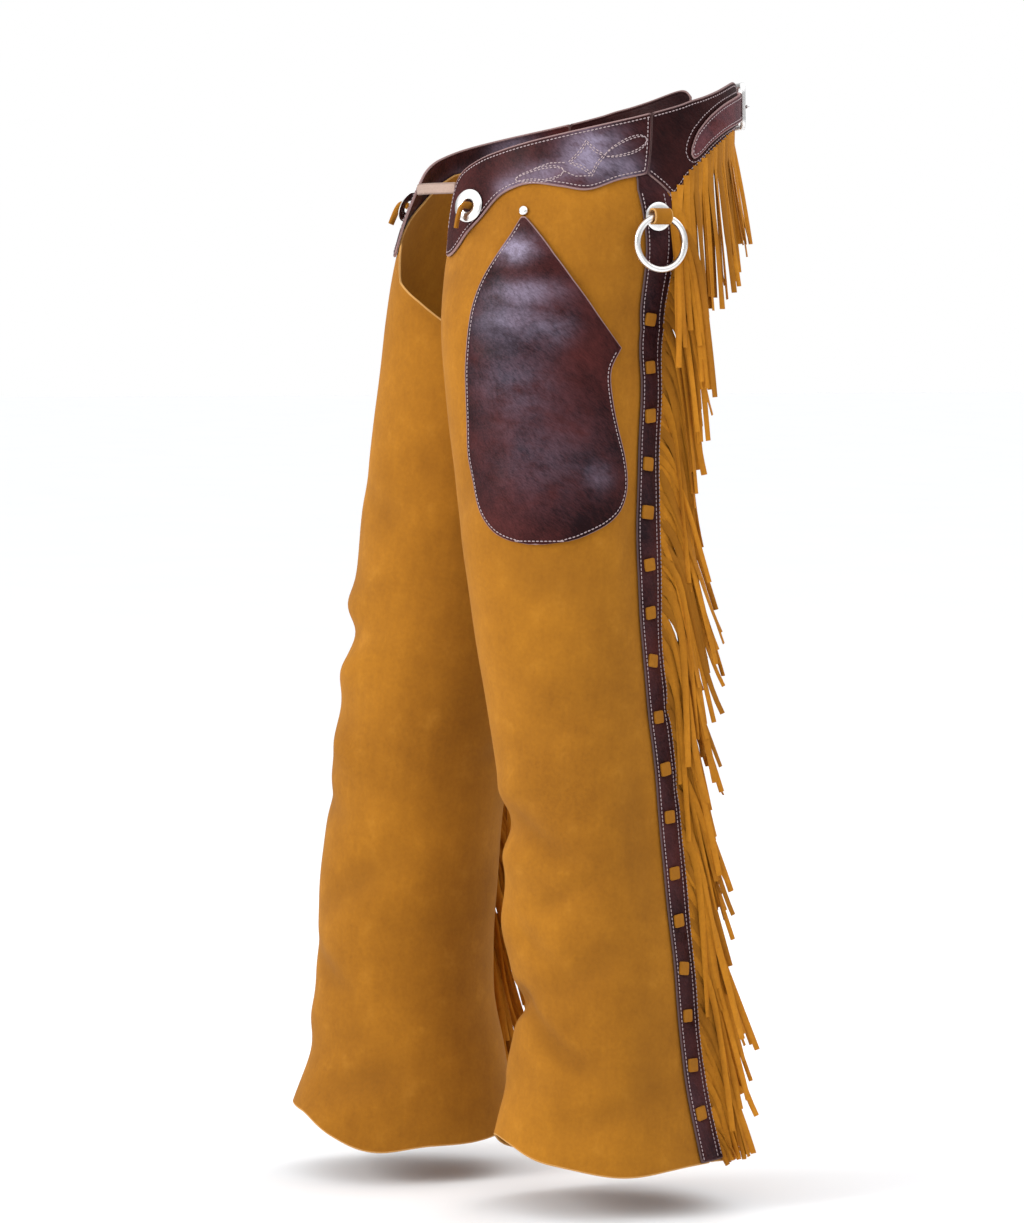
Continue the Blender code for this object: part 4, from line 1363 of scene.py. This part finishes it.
def makeLegFringe(side):
    chance = random.Random(77 + side)
    strands, lengths = [], []
    for layer in (0, 1):
        height = legFringe["top"] - layer * legFringe["pitch"] / 2
        while height > legFringe["bottom"]:
            root, _ = stripPoint(side, height, strip["rear"] - 0.0026, 0.0006 + 0.0011 * layer)
            reach, _ = rearward(side, height)
            reach = Matrix.Rotation(math.radians(chance.uniform(-16, 16)), 3, "Z") @ reach
            clump = noise(Vector((height * 16, side * 4.0, layer * 1.7)))
            loose = noise(Vector((height * 42, side * 9.0, 3 + layer)))
            length = chance.uniform(*legFringe["length"]) + 0.012 * clump
            length = min(length, max((height - legFringe["floor"]) * 1.02, 0.022))
            start = math.radians(chance.uniform(*legFringe["startSlope"]))
            low, high = legFringe["hangSlope"]
            steep = min(max(0.5 + 0.9 * clump + chance.uniform(-0.22, 0.22), 0), 1)
            hang = math.radians(low + (high - low) * steep)
            if height > -0.30:
                hang = math.radians(84) + 0.04 * loose
            flick = chance.random() < legFringe["flick"]
            bend = chance.uniform(0.4, 1.1) if flick else chance.uniform(-0.10, 0.08)
            sway = chance.uniform(-0.14, 0.14)

            def clearance(share):
                return 0.0007 + (0.0017 + 0.0022 * layer) * min(share * length / 0.010, 1)

            def ahead(share):
                settled = math.exp(-share * length / legFringe["settle"])
                slope = hang - (hang - start) * settled - bend * max(share - 0.55, 0) ** 1.6
                across = Vector((-reach.y, reach.x, 0)) * (sway * math.sin(3.0 * share + height * 60))
                return reach * math.cos(slope) + across * 0.5 - Vector((0, 0, math.sin(slope)))

            path = marched(side, root, length, ahead, clearance)
            strands.append(cutStrand(chance, legFringe, path, Vector((0, 0, 1))))
            lengths.append(length)
            height -= legFringe["pitch"] * chance.uniform(0.93, 1.07)
    finishFringe(side, "leg", strands, lengths, 0.155, 1.72, "side_strip_leather_")


hipFringe = {
    "start": 111.0,
    "finish": 150.5,
    "pitch": 0.0048,
    "width": (0.0056, 0.0078),
    "length": (0.108, 0.152),
    "drift": 0.10,
    "roll": 0.7,
    "curl": 0.5,
    # share of strands painted in shade
    "dark": 0.12,
}


def makeHipFringe(side):
    chance = random.Random(140 + side)
    strands, lengths = [], []
    for layer in (0, 1):
        angle = hipFringe["start"] + layer
        while angle < hipFringe["finish"]:
            lower = yokeEdge(backYoke, angle, "lower") + 0.003
            root = lifted(side, lower, angle, 0.0002 + 0.0008 * layer)
            normal = skinNormal(side, lower, angle)
            normal.z = 0
            normal.normalize()
            around = Vector((0, 0, 1)).cross(normal)
            share = (angle - hipFringe["start"]) / (hipFringe["finish"] - hipFringe["start"])
            shortest, longest = hipFringe["length"]
            length = longest - (longest - shortest) * share + chance.uniform(-0.016, 0.012)
            drift = hipFringe["drift"] * (0.6 + 0.9 * share) * chance.uniform(0.7, 1.35)
            flick = chance.uniform(0.2, 0.6) if chance.random() < 0.2 else 0.0
            sway = chance.uniform(-0.10, 0.10)

            def ahead(along):
                out = drift + flick * max(along - 0.6, 0)
                return normal * out + around * (sway * math.sin(2.6 * along + angle)) - Vector((0, 0, 1))

            path = marched(side, root, length, ahead, lambda along: 0.0018 + 0.0020 * layer)
            strands.append(cutStrand(chance, hipFringe, path, around))
            lengths.append(length)
            angle += hipFringe["pitch"] * chance.uniform(0.93, 1.07) / degreeLength(side, lower, angle)
    finishFringe(side, "hip", strands, lengths, 0.130, 0.26, "yoke_back_leather_")


for side in (1, -1):
    makeLegFringe(side)
    makeHipFringe(side)
print("fringe made")

rein = {
    "radius": 0.024,
    "wire": 0.003,
    "topHeight": -0.083,
    "yaw": 5,
    "conchoRadius": 0.013,
    "conchoDepth": 0.0020,
    "conchoLift": stripOuter + 0.0020,
    "loopWidth": 0.017,
    "loopInner": 0.0056,
    "loopLeather": 0.0018,
    "gap": 0.0003,
}


def flatFrame(side, height, angle, lift):
    outward = skinNormal(side, height, angle)
    along = Vector((0, 0, 1)).cross(outward).normalized()
    made = Matrix((along, outward.cross(along), outward)).transposed().to_4x4()
    made.translation = skinPoint(side, height, angle) + outward * lift
    return made


def reinFrame(side, lift):  # upright, on the outseam
    height, angle = rein["topHeight"], seamAt(rein["topHeight"])
    outward = skinNormal(side, height, angle)
    outward.z = 0
    outward = Matrix.Rotation(math.radians(-side * rein["yaw"]), 3, "Z") @ outward.normalized()
    up = Vector((0, 0, 1))
    made = Matrix((up.cross(outward), up, outward)).transposed().to_4x4()
    made.translation = skinPoint(side, height, angle) + outward * lift
    return made


def ringFrame(side):
    return reinFrame(side, rein["conchoLift"] + rein["conchoDepth"] + 2 * rein["gap"] + rein["wire"])


def makeRing(side):
    clearSelection()
    bpy.ops.mesh.primitive_torus_add(
        major_radius=rein["radius"], minor_radius=rein["wire"], major_segments=96, minor_segments=20
    )
    made = settled(shaped("rein_ring_" + sideNames[side]))
    placed(made, ringFrame(side) @ Matrix.Translation((0, -rein["radius"], 0)))
    body = sideNames[side] + "_ring"
    return dressed(made, "metal", ["ring_" + sideNames[side]], body, smoothAngle=60)


def pressed(name, radius, steps, rings):
    # a flat round blank, whose top face each ring draws in and lifts, from the rim to the middle
    clearSelection()
    bpy.ops.mesh.primitive_circle_add(vertices=steps, radius=radius * 0.96, fill_type="NGON")
    made = shaped(name)
    selectAll()
    for scale, rise in rings:
        bpy.ops.mesh.extrude_region_move(TRANSFORM_OT_translate={"value": (0, 0, rise)})
        bpy.ops.transform.resize(value=(scale, scale, 1), center_override=(0, 0, 0))
    return closedUp(made)


def closedUp(made):
    selectAll()
    bpy.ops.mesh.remove_doubles(threshold=0.000002)
    bpy.ops.mesh.normals_make_consistent(inside=False)
    return settled(made)


def makeSideConcho(side):
    rings = [(1.04, 0.0003), (1.0, 0.0006), (0.97, 0.0003), (0.9, 0.0004), (0.86, 0.0001), (0.7, 0.0003)]
    made = pressed("side_concho_face_" + sideNames[side], rein["conchoRadius"], 48, rings)
    placed(made, reinFrame(side, rein["conchoLift"]))
    dressed(made, "metal", ["side_concho_" + sideNames[side]], smoothAngle=40)


def makeRingLoop(side):
    at, foot = ringFrame(side), -(rein["wire"] + rein["gap"])
    inner = rein["loopInner"]
    path = [(-inner, foot), (-inner, foot * 0.5)]
    turns = [math.pi * step / 20 for step in range(21)]
    path += [(-inner * math.cos(turn), inner * math.sin(turn)) for turn in turns]
    path += [(inner, foot * 0.5), (inner, foot)]
    grid = []
    for up, out in path:
        away = Vector((0, up, out)).normalized() if out > 0 else Vector((0, math.copysign(1, up), 0))
        line = []
        for column in range(9):
            across = rein["loopWidth"] * (column / 8 - 0.5)
            point = Vector((across, up, out)) + away * rein["loopLeather"]
            line.append((at @ point, (at.to_3x3() @ away).normalized()))
        grid.append(line)
    made = panel("ring_loop_suede_" + sideNames[side], grid, rein["loopLeather"])
    dressed(made, "suede", ["ring_loop_" + sideNames[side]])
    cutSize(made, 0.0175, 0.026, "folded", ["rein_ring_" + sideNames[side]])
    return made


concho = {"radius": 0.015, "height": -0.074, "angle": 25, "clearance": 0.0042, "turn": 16}
# the concho's section, from its rim over the dome, down the hole and back: radius and rise
conchoSection = [(0.0152, 0.0005), (0.0149, 0.0005), (0.0128, 0.0008), (0.0100, 0.0005), (0.0078, 0.0000),
                 (0.0064, -0.0004), (0.0060, -0.0010), (0.0064, -0.0009), (0.0150, 0.0)]


def conchoFrame(side):
    at = flatFrame(side, concho["height"], concho["angle"], yokeOuter + concho["clearance"])
    return at @ Matrix.Rotation(math.radians(side * concho["turn"]), 4, "Y")


def makeConcho(side):
    clearSelection()
    bpy.ops.mesh.primitive_circle_add(vertices=64, radius=concho["radius"], fill_type="NOTHING")
    made = shaped("lace_concho_" + sideNames[side])
    selectAll()
    reach = concho["radius"]
    for radius, rise in conchoSection:
        bpy.ops.mesh.extrude_edges_move(TRANSFORM_OT_translate={"value": (0, 0, rise)})
        bpy.ops.transform.resize(value=(radius / reach, radius / reach, 1), center_override=(0, 0, 0))
        reach = radius
    closedUp(made)
    placed(made, conchoFrame(side))
    turnedOut(made)
    return dressed(made, "metal", ["concho_" + sideNames[side]], smoothAngle=45)


stud = {"radius": 0.0045, "height": -0.078, "angle": 51}


def makeStud(side):
    rings = [(1.04, 0.0003), (1.0, 0.0005), (0.95, 0.0006), (0.88, 0.0006), (0.74, 0.0005), (0.5, 0.0003)]
    made = pressed("pocket_rivet_" + sideNames[side], stud["radius"], 32, rings)
    placed(made, flatFrame(side, stud["height"], stud["angle"], skin["panelLift"]))
    turnedOut(made)
    return dressed(made, "metal", ["pocket_stud_" + sideNames[side]])


def bar(name, path, radiusAt):  # a closed flattened bar that follows a path
    sides, flatten = knot["sides"], knot["flatten"]
    verts, faces = [], []
    count = len(path)
    turned = None
    for place, point in enumerate(path):
        ahead = (path[min(place + 1, count - 1)] - path[max(place - 1, 0)]).normalized()
        across = turned if turned is not None else ahead.orthogonal()
        across = (across - ahead * across.dot(ahead)).normalized()
        turned = across
        other = ahead.cross(across)
        radius = radiusAt(place / (count - 1))
        for step in range(sides):
            around = 2 * math.pi * step / sides
            out = across * math.cos(around) + other * math.sin(around) * flatten
            verts.append(tuple(point + out * radius))
    for ring in range(count - 1):
        for step in range(sides):
            a, b = ring * sides + step, ring * sides + (step + 1) % sides
            faces.append((a, b, b + sides, a + sides))
    faces.append(tuple(range(sides - 1, -1, -1)))
    faces.append(tuple((count - 1) * sides + step for step in range(sides)))
    made = linked(name, verts, faces, {"edge": [1.0] * len(verts)})
    turnedOut(made)
    return made


knot = {"radius": 0.0042, "sides": 14, "flatten": 0.62}


def makeLaceKnot(side):
    at = conchoFrame(side)
    steps = [(0, 0, -0.0026), (0, 0, 0.0045), (0.0012, -0.0020, 0.0082), (0.0030, -0.0080, 0.0088)]
    steps += [(0.0045, -0.0150, 0.0080), (0.0055, -0.0220, 0.0072)]
    path = rounded([at @ Vector((-side * x, y, z)) for x, y, z in steps], 6)
    made = bar("lace_knot_end_" + sideNames[side], path, lambda share: knot["radius"] * (1 - 0.18 * share))
    return dressed(made, "suede", ["lace_knot_" + sideNames[side]], smoothAngle=60)


for side in (1, -1):
    makeRing(side)
    makeSideConcho(side)
    makeRingLoop(side)
    makeConcho(side)
    makeStud(side)
    makeLaceKnot(side)
print("rings and conchos made")

lace = {
    "width": 0.009,
    "leather": 0.0022,
    "height": -0.056,
    "angle": 10.0,
    "lift": 0.0014,
    "short": 0.0012,  # how far each end stops before its yoke
    "sag": 0.010,
    "cup": 0.0003,
    "steps": 60,
}


def makeFrontLace():
    left, right = (lifted(side, lace["height"], lace["angle"], lace["lift"]) for side in (1, -1))
    left += Vector((-lace["short"], 0, 0))
    right += Vector((lace["short"], 0, 0))
    middles = []
    for step in range(lace["steps"] + 1):
        along = step / lace["steps"]
        middles.append(left.lerp(right, along) + Vector((0, -lace["sag"] * math.sin(math.pi * along), 0)))
    grid = []
    for step, middle in enumerate(middles):
        ahead = middles[min(step + 1, lace["steps"])] - middles[max(step - 1, 0)]
        out = Vector((ahead.y, -ahead.x, 0)).normalized()
        if out.y > 0:
            out = -out
        line = []
        for column in range(7):
            up = lace["width"] * (column / 6 - 0.5)
            cup = lace["leather"] * 0.5 + lace["cup"] * math.cos(math.pi * (column / 6 - 0.5))
            line.append((middle + Vector((0, 0, up)) + out * cup, out))
        grid.append(line)
    made = panel("front_lace_leather", grid, lace["leather"])
    dressed(made, "lace", ["front_lace"])
    long = sum((second - first).length for first, second in zip(middles, middles[1:]))
    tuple(middles[0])
    print(f"front lace: {long:.3f} m")
    return made


makeFrontLace()

rightStrap = [
    StrapRow(0.0580, 0.0205, 0.0125, 0.0042),
    StrapRow(0.0360, 0.0210, 0.0125, 0.0042),
    StrapRow(0.0080, 0.0210, 0.0125, 0.0040),
]
riseToBar = StrapRow(0.0260, 0.0210, 0.0125, 0.0076)
billetEnd = [
    StrapRow(0.0290, 0.0197, 0.0125, 0.0033),
    StrapRow(0.0170, 0.0206, 0.0125, 0.0026),
    StrapRow(0.0080, 0.0210, 0.0125, 0.0032),
    StrapRow(0.0000, 0.0210, 0.0125, 0.0065),
    StrapRow(-0.0100, 0.0210, 0.0125, 0.0112),
    StrapRow(-0.0170, 0.0210, 0.0125, 0.0128),
    StrapRow(-0.0250, 0.0210, 0.0125, 0.0118),
    StrapRow(-0.0340, 0.0210, 0.0125, 0.0086),
    StrapRow(-0.0440, 0.0208, 0.0125, 0.0074),
    StrapRow(-0.0600, 0.0203, 0.0125, 0.0072),
    StrapRow(-0.0760, 0.0192, 0.0110, 0.0072),
    StrapRow(-0.0830, 0.0186, 0.0050, 0.0072),
]
strapColumns = 20
strapRows = 6  # grid rows to each row of the tables
# strapShine is painted sheen, even over the straps
strapShine = 0.12
besideStrap = {"out": 0.0066, "down": 0.0030, "lastAngle": 154, "clear": 0.0045}


def fromBuckle(side, rows):
    return [row._replace(across=row.across + side * buckle["across"]) for row in rows]


def besideBuckle(x, up, out):
    return waistPoint(1, buckle["across"] + x, buckle["height"] + up, buckle["lift"] + out)


def finerRows(rows, times):
    made = []
    for index in range(len(rows) - 1):
        first, second = rows[index], rows[index + 1]
        for step in range(times):
            share = step / times
            across = first.across + (second.across - first.across) * share
            others = [interpolated(rows, across, "across", key) for key in StrapRow._fields[1:]]
            made.append(StrapRow(across, *others))
    return made + [rows[-1]]


def strapGrid(side, rows):
    points = []
    for row in finerRows(rows, strapRows):
        line = []
        for column in range(strapColumns + 1):
            height = row.height + row.halfWidth * (2 * column / strapColumns - 1)
            line.append(waistPoint(side, row.across, height, row.lift + skin["strap"]))
        points.append(line)
    return points


def withNormals(points, outwards):  # outwards points away from the garment, roughly
    grid = []
    for row, line in enumerate(points):
        made = []
        for column, point in enumerate(line):
            before, after = points[max(row - 1, 0)], points[min(row + 1, len(points) - 1)]
            along = after[column] - before[column]
            up = line[min(column + 1, len(line) - 1)] - line[max(column - 1, 0)]
            normal = along.cross(up).normalized()
            made.append((point, -normal if normal.dot(outwards(row, point)) < 0 else normal))
        grid.append(made)
    return grid


def fromWaist(row, point):
    return Vector((point.x * 0.8, point.y, 0)).normalized()


def strapStitching(name, grid, fromRow, toRow):
    lines = [[], []]
    for row in range(fromRow, toRow):
        line = grid[row]
        wide = sum((line[i + 1][0] - line[i][0]).length for i in range(len(line) - 1))
        share = min(sewing["inset"] / max(wide, 0.001), 0.45)
        for place, at in ((0, share), (1, 1 - share)):
            where = at * (len(line) - 1)
            low = min(int(where), len(line) - 2)
            mixed = line[low][0].lerp(line[low + 1][0], where - low)
            lines[place].append((mixed, line[low][1]))
    around = list(reversed(lines[0])) + lines[1]
    middle = grid[toRow // 2][strapColumns // 2][0]
    beside = [[]]  # a second line of sewing, on the yoke just outside the strap
    for index, (point, normal) in enumerate(around):
        ahead = around[min(index + 1, len(around) - 1)][0] - around[max(index - 1, 0)][0]
        out = ahead.cross(normal).normalized()
        if out.dot(point - middle) < 0:
            out = -out
        moved = point + out * besideStrap["out"] - normal * besideStrap["down"]
        angle = waistAngle(abs(moved.x))
        lower = yokeEdge(backYoke, angle, "lower") + besideStrap["clear"]
        upper = yokeEdge(backYoke, angle, "upper") - besideStrap["clear"]
        if angle < besideStrap["lastAngle"] and lower < moved.z < upper:
            beside[-1].append((moved, normal))
        elif beside[-1]:
            beside.append([])
    return sewn(name, [around] + [line for line in beside if len(line) > 1])


def shineOver(grid):
    return [strapShine] * (len(grid) * (strapColumns + 1))


def makeBillet():
    rows = sewnStrap + fromBuckle(1, billetEnd)
    grid = withNormals(strapGrid(1, rows), fromWaist)
    slot = {(row, column) for row in range(10 * strapRows + 1, 13 * strapRows) for column in (9, 10)}
    made = panel("billet_leather_left", grid, skin["strap"], {"paintedSheen": shineOver(grid)}, slot)
    dressed(made, "strap", ["billet_left"])
    cutSize(made, 0.028, 0.27, "laid", ["yoke_back_leather_left"])
    strapStitching("billet_stitching_left", grid, 2, 7 * strapRows)


def makeBuckleStrap():
    points = strapGrid(-1, sewnStrap + rightStrap + fromBuckle(-1, [riseToBar]))
    flatRows = len(points)
    barAt = buckle["halfWidth"] - buckle["across"]
    inner, outer = buckle["wire"] + 0.0006, buckle["wire"] + 0.0020
    for step in range(25):
        lean = math.radians(100 - 200 * step / 24)
        line = []
        for column in range(strapColumns + 1):
            height = buckle["height"] + 0.025 * (column / strapColumns - 0.5)
            at = barAt - outer * math.cos(lean)
            line.append(waistPoint(-1, at, height, buckle["lift"] + outer * math.sin(lean)))
        points.append(line)
    middle = waistPoint(-1, barAt, buckle["height"], buckle["lift"])

    def outwards(row, point):
        if row < flatRows:
            return fromWaist(row, point)
        return Vector((point.x - middle.x, point.y - middle.y, 0)).normalized()

    grid = withNormals(points, outwards)
    slot = {(row, column) for row in range(flatRows - 3, len(grid) - 1) for column in (8, 9, 10, 11)}
    made = panel("buckle_strap_leather_right", grid, outer - inner, {"paintedSheen": shineOver(grid)}, slot)
    dressed(made, "strap", ["buckle_strap_right"])
    cutSize(made, 0.028, 0.18, "laid", ["yoke_back_leather_right"])
    strapStitching("buckle_strap_stitching_right", grid, 2, flatRows - 8)


buckleCuts = (-0.010, -0.005, 0, 0.005, 0.010)  # where the long sides can bend round the waist
# the tongue's way from the bar to its tip: how far ahead, the rise and the taper
tongueRuns = ((0.009, 0.0003, 1), (0.012, 0, 1), (0.010, 0, 1), (0.0035, 0, 0.9), (0.001, -0.0002, 0.6))


def fittedToWaist(made, node):  # shaped flat, then bent round with the waist
    for vert in made.data.vertices:
        vert.co = besideBuckle(*vert.co)
    made.data.update()
    turnedOut(made)
    dressed(made, "metal", [node])


def makeBuckle():
    wide, high, wire, pin = buckle["halfWidth"], buckle["halfHeight"], buckle["wire"], buckle["tongue"]
    clearSelection()
    bpy.ops.mesh.primitive_plane_add(size=2, location=(0, 0, 0))
    made = shaped("waist_buckle_nickel")
    selectAll()
    bpy.ops.transform.resize(value=(wide + wire, high + wire, 1), center_override=(0, 0, 0))
    bpy.ops.mesh.bevel(affect="VERTICES", offset=buckle["corner"] + wire, segments=10)
    selectAll()
    bpy.ops.mesh.inset(thickness=2 * wire)
    bpy.ops.mesh.delete(type="FACE")
    selectAll()
    bpy.ops.transform.translate(value=(0, 0, -wire))
    bpy.ops.mesh.extrude_region_move(TRANSFORM_OT_translate={"value": (0, 0, 2 * wire)})
    selectAll()
    bpy.ops.mesh.normals_make_consistent(inside=False)
    bpy.ops.mesh.select_all(action="DESELECT")
    bpy.ops.mesh.edges_select_sharp(sharpness=math.radians(60))
    bpy.ops.mesh.bevel(affect="EDGES", offset=wire * 0.72, segments=5)
    for cut in buckleCuts:
        selectAll()
        bpy.ops.mesh.bisect(plane_co=(cut, 0, 0), plane_no=(1, 0, 0))
    fittedToWaist(settled(made), "buckle_frame")
    reach = wire + buckle["gap"] + pin
    clearSelection()
    bpy.ops.mesh.primitive_circle_add(vertices=16, radius=pin, rotation=(0, math.radians(90), 0))
    made = shaped("buckle_tongue_nickel")
    selectAll()
    bpy.ops.transform.translate(value=(-wide, 0, -reach))
    settled(made)
    made.select_set(True)
    bpy.context.view_layer.objects.active = made
    bpy.ops.object.mode_set(mode="EDIT")
    selectAll()
    bpy.ops.mesh.spin(steps=18, angle=-math.pi, center=(-wide, 0, 0), axis=(0, 1, 0))
    for ahead, rise, scale in tongueRuns:
        bpy.ops.mesh.extrude_edges_move(TRANSFORM_OT_translate={"value": (ahead, 0, rise)})
        bpy.ops.transform.resize(value=(1, scale, scale))
    selectAll()
    bpy.ops.mesh.fill_holes(sides=0)
    bpy.ops.mesh.normals_make_consistent(inside=False)
    fittedToWaist(settled(made), "buckle_tongue")


makeBillet()
makeBuckleStrap()
makeBuckle()
print("straps and buckle made")


studio = {"low": 0.34, "high": 1.38, "floor": -1.0, "aim": -0.45}
floorFinish = Finish("studioFloor")
paper = floorFinish.noise(3.0, 3.0, 0.5)
floorFinish.set(Base_Color=floorFinish.blend(paper, (0.84, 0.84, 0.84), (0.87, 0.87, 0.87)), Roughness=0.95)


def makeFloor():
    clearSelection()
    bpy.ops.mesh.primitive_plane_add(size=60, location=(0, 0, studio["floor"]))
    made = bpy.context.active_object
    made.name = "studioFloor"
    made.data.materials.append(floorFinish.material)
    return made


def makeLight(name, azimuth, elevation, away, size, power):
    data = bpy.data.lights.new(name, "AREA")
    data.shape, data.size, data.energy = "DISK", size, power
    aimed(name, data, Vector((0, 0, studio["aim"])), directionFrom(azimuth, elevation), away)


def makeWorld():  # soft light from above, seen as plain white behind the garment
    world = bpy.data.worlds.new("studio")
    world.use_nodes = True
    nodes, links = world.node_tree.nodes, world.node_tree.links
    glow = nodes["Background"]
    glow.inputs["Color"].default_value = (0.97, 0.98, 1.0, 1)
    way, parts = nodes.new("ShaderNodeTexCoord"), nodes.new("ShaderNodeSeparateXYZ")
    links.new(way.outputs["Generated"], parts.inputs[0])
    ramp = nodes.new("ShaderNodeMapRange")
    ramp.interpolation_type = "SMOOTHSTEP"
    for place, value in enumerate((0.0, 0.75, studio["low"], studio["high"])):
        ramp.inputs[place + 1].default_value = value
    links.new(parts.outputs["Z"], ramp.inputs[0])
    links.new(ramp.outputs[0], glow.inputs["Strength"])
    white, seen = nodes.new("ShaderNodeBackground"), nodes.new("ShaderNodeLightPath")
    both = nodes.new("ShaderNodeMixShader")
    white.inputs["Color"].default_value = (1, 1, 1, 1)
    links.new(seen.outputs["Is Camera Ray"], both.inputs[0])
    links.new(glow.outputs[0], both.inputs[1])
    links.new(white.outputs[0], both.inputs[2])
    links.new(both.outputs[0], nodes["World Output"].inputs["Surface"])
    bpy.context.scene.world = world


for spare in (stitchShape, tabShape):
    bpy.data.objects.remove(spare, do_unlink=True)
makeFloor()
makeWorld()
makeLight("key", 16, 22, 3.6, 1.8, 74)
makeLight("fill", 130, 35, 3.6, 2.4, 6)
makeLight("back", 215, 40, 3.2, 1.8, 16)
print("studio set")
